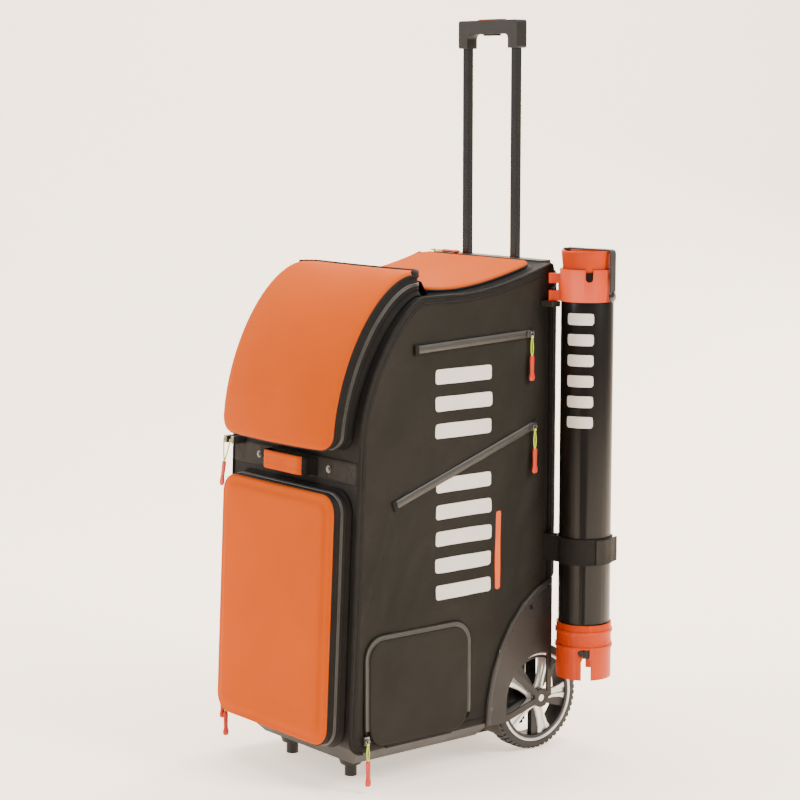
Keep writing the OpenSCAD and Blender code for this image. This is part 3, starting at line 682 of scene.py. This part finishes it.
def wall_frames(path, top, top_lift, bottom, bottom_lift, flare=0):
    """Frames for a wall that stands between two surfaces: origin below, height vector, outward vector."""
    centre = path.mean(axis=0)
    frames = []
    for i, p in enumerate(path):
        near = path[(i + 1) % len(path)] - path[i - 1]
        side = unit(np.array([near[1], -near[0]]))
        side = side * np.sign(np.dot(side, p - centre))
        foot = np.array(bottom(*(p + side * flare), bottom_lift), float)
        edge = np.array(top(*p, top_lift), float)
        beyond = np.array(top(*(p + side), top_lift), float)
        frames.append((foot, edge - foot, beyond - edge))
    return frames


ZIP_WALL = [(0.0, -2.5), (0.0, 3.5), (0.06, 4.2), (0.16, 2.6), (0.3, 1.0), (0.38, 1.6), (0.44, 1.7), (0.5, 0.6),
            (0.53, 0.8), (0.6, 0.7), (0.66, 0.6), (0.8, 0.3), (0.94, 0.2), (1.0, 0.2), (1.0, -2.5)]
# The zip track in the gussets. It carries the zip colour, which is painted lighter as a highlight line.
ZIP_TRACK = [(0.54, 0.1), (0.54, 1.5), (0.57, 2.0), (0.62, 2.1), (0.64, 1.2), (0.66, 2.1), (0.71, 2.0),
             (0.74, 1.5), (0.74, 0.1)]
rear_edge = part_of(flap_path, lambda p: p[1] > FLAP_LEN - 30)
sweep("flap_rear_binding", surface_frames(rear_edge, flap_place, lift=-3.8),
      [(a, b * 1.9) for a, b in circle(2.6, 14)], body="flap")
flap_wall = [(foot, up, unit(outward))
             for foot, up, outward in wall_frames(flap_path, flap_place, -11.5, under_place, 0.2)]
sweep("flap_gusset_fabric", flap_wall, ZIP_WALL, closed=True, replaces=["flap_gusset"], sharp=75)
sweep("flap_gusset_zip", flap_wall, ZIP_TRACK, ZIP_COAT_PAINTED_HIGHLIGHT, closed=True, sharp=75)

# ---- pocket door and its gusset ----
DOOR_LOW, DOOR_HIGH = -12, 390
door_ring = round_rect(-HALF_DOOR, DOOR_LOW, HALF_DOOR, DOOR_HIGH, 30)


def door_profile(d):
    """A flange at the edge, a sloped step and a raised middle."""
    step_up = min(1, max(0, (d - 9) / 11))
    return roll(4, 5)(d) - 4.2 * (1 - step_up * step_up * (3 - 2 * step_up)) - 1.6 * (1 - min(1, d / 120)) ** 2


def door_mark(x, v):
    d = min(x + 20, 112 - x, v - 38, 46 - v)
    return -0.9 * min(1, max(0, (d + 2) / 3))


panel("pocket_door_moulded", door_ring, lambda x, v, h: lean_place(x, v, h + DOOR_FACE), 14.5, EVA,
      body="door", step=8, insets=(0.8, 2, 4, 6.5, 9, 11.5, 14, 17, 20), profile=door_profile, relief=door_mark,
      replaces=["pocket_door"], fade=5)
door_path = resample(round_rect(-HALF_DOOR + 0.5, DOOR_LOW + 0.5, HALF_DOOR - 0.5, DOOR_HIGH - 0.5, 30), 5)
sweep("pocket_door_piping", surface_frames(door_path, lean_place, True, 28), circle(2.4, 10),
      body="door", closed=True)


def ring_wall(name, path, place, base, top, material=BINDING, replaces=(), outline=ZIP_WALL):
    """A zipped gusset round a closed path: a flared foot, a zip half way up and a bound edge."""
    sweep(name, wall_frames(path, place, top, place, base, 5), outline, material, closed=True, replaces=replaces,
          sharp=75)


ring_wall("pocket_gusset_fabric", door_path, lean_place, 0.1, 26, replaces=["pocket_gusset"])
ring_wall("pocket_gusset_zip", door_path, lean_place, 0.1, 26, ZIP_COAT_PAINTED_HIGHLIGHT, outline=ZIP_TRACK)

# ---- top panel, its zip band and the deck ----
TOP_Y0, TOP_Y1 = -42, 176
lid_ring = round_rect(-147, TOP_Y0, 147, TOP_Y1, 22)


def lid_profile(d):
    return roll(5, 5)(d) - 2.5 * (1 - min(1, d / 60)) ** 2


panel("top_panel_moulded", lid_ring, lambda x, y, h: top_place(x, y, h + LID_FACE), 9, EVA,
      body="lid", step=8, insets=(0.8, 2, 4, 7, 12, 20), profile=lid_profile, replaces=["top_panel"],
      relief=lambda x, y: 0.5 * ripple(x, y, 70, 0, 2, 2.2) - 0.3, fade=20)
lid_path = resample(round_rect(-146.5, TOP_Y0 + 0.5, 146.5, TOP_Y1 - 0.5, 22), 5)
sweep("top_panel_piping", surface_frames(lid_path, top_place, True, 6.4), circle(2.3, 10),
      body="lid", closed=True)
ring_wall("top_gusset_fabric", lid_path, top_place, 0.2, 5, replaces=["top_gusset"])
panel("top_fabric", [(-EDGE_W, -74), (EDGE_W, -74), (EDGE_W, REAR_Y), (-EDGE_W, REAR_Y)], top_place, SHEET,
      NYLON_BODY, step=8, holes=[round_rect(-126, -40, 126, 172, 12)], replaces=["top_deck"],
      relief=lambda x, y: min(0.1, 0.7 * ripple(x, y, 26, 80, 3, 6.6) - 0.4), fade=8)

# ---- padded back ----
def back_relief(x, z):
    """Four padded pillows with sewn channels between them."""
    h = 0.0
    for z0, z1 in ((236, 372), (384, 520), (532, 668), (680, 804)):
        for x0, x1 in ((-150, -92), (-34, 34), (92, 150)):
            d = min(x - x0, x1 - x, z - z0, z1 - z)
            if d > 0:
                h += 5.5 * math.sin(math.pi / 2 * min(1, d / 15))
    return h + 0.5 * ripple(x, z, 24, 60, 2, 8.8)


back_outline = [(-117, BASE_Z), (117, BASE_Z), (117, 212), (HALF_W, 212), (HALF_W, 821), (-HALF_W, 821),
                (-HALF_W, 212), (-117, 212)]
panel("back_fabric", back_outline, lambda x, z, h: back_place(x, z, h - 0.2), 3.5, MESH_PAD, step=7,
      insets=(2, 5), profile=roll(5, 2), relief=back_relief, replaces=["back_panel"], fade=6)
for side, sign in SIDES:
    panel(f"back_edge_{side}", round_rect(132, 292, 171.5, 818, 10), lambda x, z, h: (sign * x, 213 + h, z), 16,
          MESH_PAD, step=8, insets=(2, 5, 8), profile=roll(10, 9), fade=6,
          relief=lambda x, z: min(0.2, 1.2 * ripple(x, z, 22, 10, 2, 4.1 + sign) - 0.8))
back_edge = open_line([(-HALF_W, 292), (-HALF_W, 820), (HALF_W, 820), (HALF_W, 292)], 6)
sweep("back_piping", surface_frames(back_edge, back_place, lift=0.5), circle(2.4, 10))
channel_rows = [[(-166, z), (166, z)] for z in (228, 378, 526, 674, 812)]
channel_rows += [[(x, 228), (x, 812)] for x in (-86, -40, 40, 86)]
stitches("back_stitch", channel_rows, back_place, lift=0.2)

# ---- side zips and side pocket ----
ZIP_PROFILE = [(-6.4, -1.8), (-6.4, 1.0), (-5.8, 1.5), (-1.1, 1.9), (-0.5, 1.3), (0.5, 1.3), (1.1, 1.9), (5.8, 1.5),
               (6.4, 1.0), (6.4, -1.8)]
right = side_place(1)
for name, ends in (("upper", UPPER_ZIP), ("lower", LOWER_ZIP)):
    start_at, end_at = np.array(ends, float)
    line = open_line([start_at, end_at], 6)
    sweep(f"side_zip_{name}", surface_frames(line, right), ZIP_PROFILE, ZIP_COAT_PAINTED_HIGHLIGHT,
          replaces=["side_zips"] if name == "upper" else [])
    along = unit(end_at - start_at)
    across = np.array([-along[1], along[0]])
    rows = [[p + across * k for p in (start_at, end_at)] for k in (-8.2, 8.2)]
    rows += [[p + across * k for k in (-8.2, 8.2)] for p in (start_at, end_at)]
    stitches(f"side_zip_{name}_stitch", rows, right, lift=-0.7)
    for tag, end, way in (("front", start_at, -1), ("rear", end_at, 1)):
        corner = [end + along * way * a for a in (-3, 5)]
        garage = [(-8, -1.5), (-8, 1.6), (-7, 2.3), (7, 2.3), (8, 1.6), (8, -1.5)]
        sweep(f"side_zip_{name}_{tag}_end", surface_frames(corner, right), garage)

POCKET = (-190, 72, 14, 244)
pocket_path = resample(round_rect(-193, 74, 17, 247, 32), 5)
sweep("side_pocket_zip", surface_frames(part_of(pocket_path, lambda p: p[1] > 96), right),
      [(a * 0.72, b + 0.1) for a, b in ZIP_PROFILE], ZIP_COAT_PAINTED_HIGHLIGHT)
outer_line = part_of(resample(round_rect(-198, 70, 22, 252, 36), 5), lambda p: p[1] > 84)
sweep("side_pocket_piping", surface_frames(outer_line, right, lift=0.2), circle(1.6, 8))


def pocket_relief(y, z):
    h = 0.9 * ripple(y, z, 44, 62, 2.6, 12.5) + 0.4 * ripple(y, z, 17, 75, 3, 14.1)
    return max(-1.6, min(0.4, h - 0.4))


panel("side_pocket_face", round_rect(*POCKET, 30), lambda y, z, h: (HALF_W + 4.4 + h, y, z), 2.4, NYLON,
      body="side_pocket", step=7, insets=(1, 2.5, 5), profile=roll(4, 1.6), relief=pocket_relief,
      replaces=["side_pocket_flap"], fade=16)

# ---- grab handle ----
GRAB_V = 425.5
plan = open_line([(-66, 1), (-60, -8), (-53, -20), (-44, -25), (44, -25), (53, -20), (60, -8), (66, 1)], 4)


def grab_frames(points):
    return free_frames([lean_place(x, GRAB_V, -depth) for x, depth in points], (0, math.sin(LEAN), math.cos(LEAN)))


grab_profile = []
for k in range(36):
    t = 2 * math.pi * k / 36
    zz = 15 * math.copysign(abs(math.sin(t)) ** 0.75, math.sin(t))
    seam = 1 - 0.42 * (math.exp(-((zz - 5) / 1.6) ** 2) + math.exp(-((zz + 5) / 1.6) ** 2))
    grab_profile.append((3.6 * math.copysign(abs(math.cos(t)) ** 0.5, math.cos(t)) * seam, zz))
pad = [p for p in plan if abs(p[0]) <= 53]
handle_pad = sweep("grab_handle_pad", grab_frames(pad), grab_profile, PAD_ORANGE,
                   replaces=["grab_handle"], sharp=70)
strap_profile = [(-1.6, -14), (1.6, -14), (1.9, -13), (1.9, 13), (1.6, 14), (-1.6, 14), (-1.9, 13), (-1.9, -13)]
cuff = [(a * 1.25, b * 1.04) for a, b in grab_profile]
for tag, sign in (("left", -1), ("right", 1)):
    part = [p for p in plan if sign * p[0] >= 44]
    sweep(f"grab_handle_strap_{tag}", grab_frames(part), strap_profile)
    ends = [p for p in plan if 50 <= sign * p[0] <= 57]
    sweep(f"grab_handle_cuff_{tag}", grab_frames(ends), cuff, sharp=70)
pad_place = lambda x, v, h: lean_place(x, v, h + GRAB_FACE)
stitches("grab_handle_stitch", [[(-40, 420.5), (40, 420.5)], [(-40, 430.5), (40, 430.5)]], pad_place,
         lift=-0.9, material=PAD_ORANGE)


# ---- zip pulls ----
def loft(name, centres, sizes, up, material, body, replaces=(), n=14):
    """A round bar through the centres, with a (half width, half thickness) at each."""
    sweep(name, free_frames(centres, up), circle(1, n), material, body=body, replaces=replaces, sizes=sizes,
          sharp=60)


def soft_tab(name, top, down, spots, flat, body, node):
    """spots holds (distance along the tab, half width, half thickness)."""
    loft(f"{name}_tab", [top + down * s for s, _, _ in spots], [(a, b) for _, a, b in spots], flat, TAB,
         body, [node])


def zip_pull(name, at, down, flat, cord, body, node):
    """A pull hanging from at: a ring, two strands of cord and a soft tab with a bulb at its end."""
    at, down, flat = (np.array(v, float) for v in (at, down, flat))
    wide = np.cross(down, flat)
    ring = [at + wide * x + down * (y + 0.5) for x, y in circle(3.6, 16)]
    sweep(f"{name}_ring", free_frames(ring, flat, closed=True), circle(0.9, 8), ZIP_METAL, body=body,
          closed=True)
    strands = []
    for k, side in enumerate((-1, 1)):
        path = [at + down * (3 + (cord - 1) * t) + wide * side * (0.5 + 1.5 * math.sin(math.pi * t) ** 0.8)
                + flat * 0.5 * side * math.cos(5 * t) for t in np.linspace(0, 1, 14)]
        strands.append(sweep(f"{name}_strand_{k}", free_frames(path, flat), circle(0.95, 8), CORD,
                             body=None))
    knot_at = [at + down * (2.5 + 5 * t) for t in np.linspace(0, 1, 7)]
    knot_size = [(0.9 + 1.9 * math.sin(math.pi * t),) * 2 for t in np.linspace(0, 1, 7)]
    strands.append(sweep(f"{name}_knot", free_frames(knot_at, flat), circle(1, 10), CORD, body=None,
                         sizes=knot_size))
    rope = join(f"{name}_cord", strands)
    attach(rope, body)
    spots = [(0, 2.2, 1.6), (0.6, 3.6, 2.5), (2, 4.2, 2.8), (6, 4.6, 2.9), (12, 4.4, 2.7), (20, 4.1, 2.5),
             (27, 4.0, 2.6), (30, 4.5, 2.8), (33.5, 5.6, 3), (36.5, 5.9, 3), (39.5, 5.3, 2.8), (41.3, 3.6, 2.0),
             (42, 1.2, 0.8)]
    soft_tab(name, at + down * cord, down, spots, flat, body, node)


PULL_X = HALF_W + 7.9
FRONT_PULL_X = (-HALF_DOOR - 23.8, -HALF_DOOR - 17)
for name, at, cord, body, node in (
        ("upper_zip_pull", (PULL_X, 146, 713), 36, "upper_zip_pull", "upper_pull"),
        ("lower_zip_pull", (PULL_X, 154, 558), 36, "lower_zip_pull", "lower_pull"),
        ("side_pocket_pull", (PULL_X, -198, 86), 32, "side_pocket_pull", "pocket_pull"),
        ("door_high_pull", (FRONT_PULL_X[0], -236, 131), 36, "door_pull_a", "door_pull_high"),
        ("door_low_pull", (FRONT_PULL_X[1], -234, 101), 36, "door_pull_b", "door_pull_low")):
    zip_pull(name, at, (0, 0, -1), (1, 0, 0), cord, body, node)
zip_pull("top_lid_pull", (-133.5, 193, 832.6), (1, 0, 0), (0, 0, 1), 28, "lid_pull", "top_pull")

V_KNOT = (-163, -234, 494)
strands = []
for k, x in enumerate((-163, -143)):
    line = [(x + (V_KNOT[0] - x) * t + 2.5 * math.sin(math.pi * t) * (k - 0.4), V_KNOT[1] - 0.8 * k,
             536 + (V_KNOT[2] - 536) * t) for t in np.linspace(0, 1, 14)]
    strands.append(sweep(f"flap_cord_{k}", free_frames(line, (0, 1, 0)), circle(1.1, 8), CORD, body=None))
v_cord = join("flap_pull_cord", strands)
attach(v_cord, "flap_pull_pair")
lean_down = np.array([-math.sin(math.radians(13)), 0, -math.cos(math.radians(13))])
spots = [(-3, 2.2, 1.6), (-2.4, 3.8, 2.5), (0, 4.4, 2.8), (6, 4.6, 2.9), (14, 4.3, 2.6), (24, 4.1, 2.6), (30, 5.3, 3),
         (34, 5.9, 3), (38, 5.2, 2.8), (40.4, 3.4, 2), (41, 1.2, 0.8)]
soft_tab("flap_pull", np.array(V_KNOT), lean_down, spots, (0, -1, 0), "flap_pull_pair", "flap_pulls")

# ---- ball tube straps ----
def round_tube(radius, degrees, z):
    a = math.radians(degrees)
    return (BALL_X + radius * math.cos(a), BALL_Y + radius * math.sin(a), z)


STRAP_Z = 352
web = [(-1.1, -22), (-1.4, -21), (-1.0, -19), (-1.0, 19), (-1.4, 21), (-1.1, 22), (1.1, 22), (1.5, 21), (1.2, 19),
       (1.2, -19), (1.5, -21), (1.1, -22)]
loop_path = [round_tube(BALL_R + 1.9, a, STRAP_Z) for a in np.arange(0, 360, 5)]
sweep("tube_strap_loop", free_frames(loop_path, (0, 0, 1), closed=True), web, closed=True,
      replaces=["tube_strap"])
for k, (y, angle) in enumerate(((181, 243), (191, 214))):
    end = np.array(round_tube(BALL_R + 2.2, angle, STRAP_Z))
    link = [np.array((HALF_W - 1, y, STRAP_Z), float) * (1 - t) + end * t for t in np.linspace(0, 1, 7)]
    sweep(f"tube_strap_link_{k}", free_frames(link, (0, 0, 1)), web)
tab_bend = ((4.4, -20), (4.5, 0), (4.5, 20), (4.8, 34), (6.5, 42), (9.3, 47))
tab_path = [round_tube(BALL_R + r, a, STRAP_Z) for r, a in tab_bend]
sweep("tube_strap_end", free_frames(open_line(tab_path, 3), (0, 0, 1)),
      [(a * 0.9, b * 0.93) for a, b in web], CHARCOAL)
hook_angle = math.radians(10)
hook_dir = np.array([math.cos(hook_angle), math.sin(hook_angle), 0])
centre = np.array([BALL_X, BALL_Y, 0.0])
hook = [(-46.3, 839), (-46.3, 848), (-45, 850.8), (-42, 851.8), (-20, 851.7), (0, 851.6), (25, 851.7), (46, 851.8),
        (49.5, 850.6), (50.8, 846), (50.8, 830), (50.8, 800), (50.8, 784)]
hook_line = [centre + hook_dir * r + np.array([0, 0, z]) for r, z in hook]
rubber = [(-6.8, -1.0), (-7, 0), (-6.8, 1.0), (-5.5, 1.3), (-2, 0.9), (2, 0.9), (5.5, 1.3), (6.8, 1.0), (7, 0),
          (6.8, -1.0), (5.5, -1.2), (-5.5, -1.2)]
side_dir = np.cross(hook_dir, (0, 0, 1))
frames = []
for i, p in enumerate(hook_line):
    along = unit(hook_line[min(i + 1, len(hook_line) - 1)] - hook_line[max(i - 1, 0)])
    frames.append((p, side_dir, np.cross(side_dir, along)))
sweep("tube_rubber_strap", frames, rubber, RUBBER, body="ball_tube", replaces=["tube_hook_strap"],
      sharp=60)
button_at = centre + hook_dir * 49.3 + np.array([0, 0, 776])
spots = [(-3, 4), (0, 4.2), (0.2, 8.6), (0.8, 9), (2, 9), (2.6, 8.4), (2.8, 6), (2.6, 2.4), (2.6, 0.4)]
loft("tube_strap_button", [button_at + hook_dir * s for s, _ in spots], [(r, r) for _, r in spots], (0, 0, 1), GLOSS,
     "ball_tube", n=28)

# ---- wheels ----
def wheel_point(sign, x, r, a):
    return (sign * x, AXLE_Y + r * math.cos(a), WHEEL_Z + r * math.sin(a))


def lathe(name, sign, outline, material, body, replaces=(), n=96):
    """A closed (x, r) outline turned round the axle."""
    points = [wheel_point(sign, x, r, 2 * math.pi * i / n) for i in range(n) for x, r in outline]
    faces, corners = grid_faces(n, len(outline))
    uvs = [(i * 0.57 / n, j * 0.01) for i, j in corners]
    crease(add_piece(name, points, faces, uvs, body, material, replaces), 35)


TREAD_BLOCKS = 54


def tread(name, sign, body):
    """Two rows of shoulder blocks and a staggered middle row."""
    points, faces = [], []
    for i in range(TREAD_BLOCKS):
        for x0, x1, shift, share in ((129.8, 139, 0, 0.62), (141, 151, 0.5, 0.68), (153, 162.2, 0, 0.62)):
            a0 = 2 * math.pi * (i + shift) / TREAD_BLOCKS
            a1 = a0 + 2 * math.pi * share / TREAD_BLOCKS
            skew = 0.012 if x0 > 150 else (-0.012 if x0 < 140 else 0)
            base = len(points)
            outer = (x0 if x0 > 131 else x0 + 2.2, x1 if x1 < 161 else x1 - 2.2)
            for r, xs, tight in ((86.2, (x0, x1), 0), (90.5 if x0 != 141 else 90.9, outer, 0.003)):
                for a, s in ((a0 + tight, skew), (a1 - tight, skew)):
                    for x in xs:
                        points.append(wheel_point(sign, x, r, a + s * (1 if x == xs[0] else -1)))
            faces += [tuple(base + k for k in f) for f in
                      ((0, 1, 3, 2), (4, 6, 7, 5), (0, 4, 5, 1), (2, 3, 7, 6), (0, 2, 6, 4), (1, 5, 7, 3))]
    add_piece(name, points, faces, None, body, RUBBER, smooth=False)


TYRE_SHAPE = [(129.2, 76.2), (128.9, 80), (129.4, 84), (131, 87), (134, 88.4), (146, 88.9), (158, 88.4), (161, 87),
              (162.6, 84), (163.1, 80), (162.8, 76.2), (158, 74), (134, 74)]
RIM_LIP = [(160.5, 67.5), (161.5, 70), (163.4, 72.5), (164.2, 74.5), (163.6, 76.4), (162, 76.6), (161, 73),
           (159.5, 69)]
HUB = [(163.5, 0.4), (167.2, 6.5), (168, 10), (167.4, 14.5), (165, 16.6), (160, 17.4), (152, 18.5), (152, 0.4)]
SPOKE_ROWS = [(14, 11.5, 163), (24, 9.5, 162.4), (40, 9.5, 161.4), (56, 12, 160.4), (68.5, 17, 160)]
for side, sign in SIDES:
    body = f"wheel_{side}"
    lathe(f"tyre_carcass_{side}", sign, TYRE_SHAPE, RUBBER, body, [f"tyre_{side}"])
    tread(f"tyre_tread_{side}", sign, body)
    lathe(f"rim_lip_{side}", sign, RIM_LIP, SILVER, body)
    lathe(f"rim_hub_cover_{side}", sign, HUB, SILVER, body, n=48)
    spokes_out = []
    for k in range(5):
        a = math.radians(72 * k)
        points = []
        for r, w, x in SPOKE_ROWS:
            for dx, across in ((-3, -w), (0, -w + 1.6), (0.5, -w * 0.34), (-1.6, -w * 0.2),
                               (-1.6, w * 0.2), (0.5, w * 0.34), (0, w - 1.6), (-3, w)):
                points.append((sign * (x + dx), AXLE_Y + r * math.cos(a) - across * math.sin(a),
                               WHEEL_Z + r * math.sin(a) + across * math.cos(a)))
        faces = grid_faces(len(SPOKE_ROWS), 8, False)[0]
        faces += [tuple(range(8)), tuple(range(8 * len(SPOKE_ROWS) - 8, 8 * len(SPOKE_ROWS)))]
        spokes_out.append(add_piece(f"spoke_{side}_{k}", points, faces, None, None, SILVER))
    spider = crease(join(f"rim_spokes_{side}", spokes_out), 40)
    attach(spider, body)

# ---- raised outer band on the wheel guards ----
for side, sign in SIDES:
    band = [(-4.5, -0.6), (-4.2, 1.2), (-3, 1.9), (3, 1.9), (4.2, 1.2), (4.5, -0.6)]
    guard_place = lambda y, z, h: (sign * (HALF_W + 4 + h), y, z)
    path = open_line([(58, 66), *arch(5.5)], 5)
    sweep(f"guard_band_{side}", surface_frames(path, guard_place), band, PLASTIC)

# ---- fabric hinges ----
def hinge_strip(name, lines, start, end):
    """A narrow strip of fabric through the given lines of points, bending from the bag to a moving panel."""
    rows = [open_line(line, 12) for line in lines]
    m = min(len(row) for row in rows)
    rows = [row[:m] for row in rows]
    fine = [a * (1 - t) + b * t for a, b in zip(rows, rows[1:]) for t in (0, 0.25, 0.5, 0.75)] + [rows[-1]]
    faces, corners = grid_faces(len(fine), m, False, False)
    uvs = [(j * 0.012, i * 0.003) for i, j in corners]
    piece = add_piece(name, [p for row in fine for p in row], faces, uvs, None, BINDING)
    thick = piece.modifiers.new("cloth", "SOLIDIFY")
    thick.thickness = 0.0012
    thick.offset = 0
    bpy.context.view_layer.objects.active = piece
    piece.select_set(True)
    bpy.ops.object.modifier_apply(modifier=thick.name)
    piece.select_set(False)
    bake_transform(piece)


flap_hinge = [[(x, y, z) for x in (-140, 140)] for y, z in ((-44, 787.5), (-52, 797), (-57, 806.5), (-62, 808.5))]
hinge_strip("flap_hinge", flap_hinge, (0, -50, 798), (0, -60, 809))
door_hinge = [[lean_place(x, v, h) for x in (-124, 124)] for v, h in ((-15, 2), (-13.6, 13), (-11.5, 25), (-8, 28.4))]
hinge_strip("door_hinge", door_hinge, lean_place(0, -14, 9), lean_place(0, -10, 27))
lid_hinge = [[top_place(x, y, h) for x in (-120, 120)] for y, h in ((184, 0.8), (179, 3.4), (175.5, 6.2), (170, 7))]
hinge_strip("lid_hinge", lid_hinge, top_place(0, 181, 2), top_place(0, 173, 7))
side_hinge = [[right(y, z, h) for y in (-158, -20)] for z, h in ((66, 0.6), (70, 1.6), (73.5, 2.6), (80, 3.2))]
hinge_strip("side_pocket_hinge", side_hinge, right(0, 68, 1), right(0, 77, 3))

# ---- plain printed bars ----
def bar(name, ring, place, material, body="bag", lift=0.25):
    panel(name, ring, lambda u, v, h: place(u, v, h + lift), 0.35, material, body=body, step=5)


def side_print(y, z, h):
    return (HALF_W + 0.3 + h + side_relief(y, z), y, z)


ZIP_MIDDLE = 458 + (8 + 136) * 102 / 296     # the lower zip's height where it crosses the bars
for k in range(9):
    low = 292 + k * 44
    if abs(low + 11 - ZIP_MIDDLE) < 26:
        continue
    ring = round_rect(-52, low, 66, low + 24, 4, n=3)
    bar(f"side_bar_{k}", ring, side_print, PRINT, lift=0)
bar("side_bar_orange", round_rect(76, 292, 88, 424, 3, n=3), side_print, PRINT_ORANGE, lift=0)


def barrel_place(a, z, h):
    return round_tube(BALL_R + h, a / BALL_R * 180 / math.pi - 50, z)


for k in range(6):
    low = 560 + k * 34
    bar(f"tube_bar_{k}", round_rect(-30, low, 16, low + 19, 3, n=3), barrel_place, PRINT, body="ball_tube")

# ---- materials of the carried-over CAD parts ----
FINISH = {
    "base_tray": (PLASTIC, 1.5), "front_feet": (PLASTIC, 1.0), "inner_frame": (STEEL, 0.4),
    "rivets": (ZIP_METAL, 0.8), "wheel_guard_left": (PLASTIC, 0.9), "wheel_guard_right": (PLASTIC, 0.9),
    "guard_screws": (GLOSS, 0.5),
    "axle": (STEEL, 0.6), "rim_left": (DARK, 0.6), "rim_right": (DARK, 0.6), "handle_bezel": (PLASTIC, 1.6),
    "handle_sleeves": (STEEL, 0.5), "handle_tubes": (ANODISED, 2.2), "handle_grip": (SATIN, 2.4),
    "handle_button": (ORANGE, 1.0), "upper_slider": (ZIP_METAL, 0.9), "lower_slider": (ZIP_METAL, 0.9),
    "fixed_sliders": (ZIP_METAL, 0.9), "tube_hanger": (PLASTIC, 1.0), "tube_barrel": (TUBE, 0.5),
    "tube_collar": (ORANGE, 0.7), "tube_flare": (ORANGE, 0.7), "tube_mouth": (ORANGE, 0.8),
    "launcher_housing": (PLASTIC, 0.8), "launcher_motors": (STEEL, 0.8), "throw_wheel_left": (RUBBER, 1.5),
    "throw_wheel_right": (RUBBER, 1.5), "control_panel": (PLASTIC, 1.2), "speed_knob": (GLOSS, 0.7),
    "elevation_knob": (GLOSS, 0.7), "power_switch": (ORANGE, 0.5), "hopper": (PLASTIC, 1.0),
    "feed_rotor": (ORANGE, 1.5), "feed_drive": (STEEL, 0.8), "battery": (PLASTIC, 2.5),
}
for node, (material, width) in FINISH.items():
    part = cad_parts[node]
    part.data.materials.clear()
    part.data.materials.append(material)
    part.data.polygons.foreach_set("material_index", [0] * len(part.data.polygons))
    weld = part.modifiers.new("weld", "WELD")
    weld.merge_threshold = 0.00001
    round_off = part.modifiers.new("rounded edges", "BEVEL")
    round_off.width = width / 1000
    round_off.segments = 2
    round_off.limit_method = "ANGLE"
    round_off.angle_limit = math.radians(35)
    round_off.use_clamp_overlap = True
    round_off.harden_normals = True

# ---- floor, lights and camera ----
WARM = (1.0, 0.965, 0.925)
LENS, CAMERA_TILT, VIEW_TURN = 99.8, 7.97, 51.2     # millimetres, degrees down, degrees round from the front
FLOOR_AHEAD, CURVE_R, WALL_TOP = 2.2, 2.6, 7.0


def backdrop():
    """A pale floor that curves up into a wall far behind the bag, square to the view."""
    turn = math.radians(VIEW_TURN)
    ahead = np.array([-math.sin(turn), math.cos(turn)])
    aside = np.array([math.cos(turn), math.sin(turn)])
    profile = [(-7.0, 0.0), (FLOOR_AHEAD, 0.0)]
    for degrees in range(6, 91, 6):
        a = math.radians(degrees)
        profile.append((FLOOR_AHEAD + CURVE_R * math.sin(a), CURVE_R - CURVE_R * math.cos(a)))
    profile.append((FLOOR_AHEAD + CURVE_R, WALL_TOP))
    points = [(*(ahead * d + aside * w), z) for d, z in profile for w in (-9, 9)]
    faces = [(2 * i, 2 * i + 1, 2 * i + 3, 2 * i + 2) for i in range(len(profile) - 1)]
    mesh = bpy.data.meshes.new("studio_backdrop")
    mesh.from_pydata(points, [], faces)
    mesh.shade_smooth()
    mesh.materials.append(surface("backdrop_paper", (1.0, 0.86, 0.72), 0.85, 0.012, 1.2, grain=0.3, grain_scale=300,
                                  depth=0.0001, specular=0.1, glow=1.0))
    sheet = new_object("studio_backdrop", mesh)


def soft_light(name, place, aim, power, size):
    light = bpy.data.lights.new(name, "AREA")
    light.shape = "RECTANGLE"
    light.size, light.size_y = size
    light.energy = power
    light.color = WARM
    lamp = new_object(name, light)
    lamp.location = place
    lamp.rotation_euler = (Vector(aim) - Vector(place)).to_track_quat("-Z", "Y").to_euler()


backdrop()
middle = (0, 0, 0.55)
soft_light("key", (-2.4, -3.6, 3.0), middle, 270, (2.4, 2.4))
soft_light("side", (2.9, 0.9, 3.1), middle, 190, (1.2, 1.8))
soft_light("top", (0.4, -0.2, 3.9), middle, 95, (2.6, 2.6))
soft_light("rim", (-1.2, 3.2, 2.2), middle, 90, (1.2, 2.4))
soft_light("wall", (-1.0, 0.6, 4.2), (-3.2, 2.6, 1.2), 260, (3.0, 2.0))

world = bpy.data.worlds.new("studio")
world.use_nodes = True
world.node_tree.nodes["Background"].inputs["Color"].default_value = (1.0, 0.965, 0.92, 1)
world.node_tree.nodes["Background"].inputs["Strength"].default_value = 0.48
bpy.context.scene.world = world

camera_data = bpy.data.cameras.new("camera")
camera_data.lens = LENS
camera = new_object("camera", camera_data)
camera.location = to_row((2868.7, -2294.8, 1111.0))
camera.rotation_euler = (math.radians(90 - CAMERA_TILT), 0, math.radians(VIEW_TURN))
bpy.context.scene.camera = camera
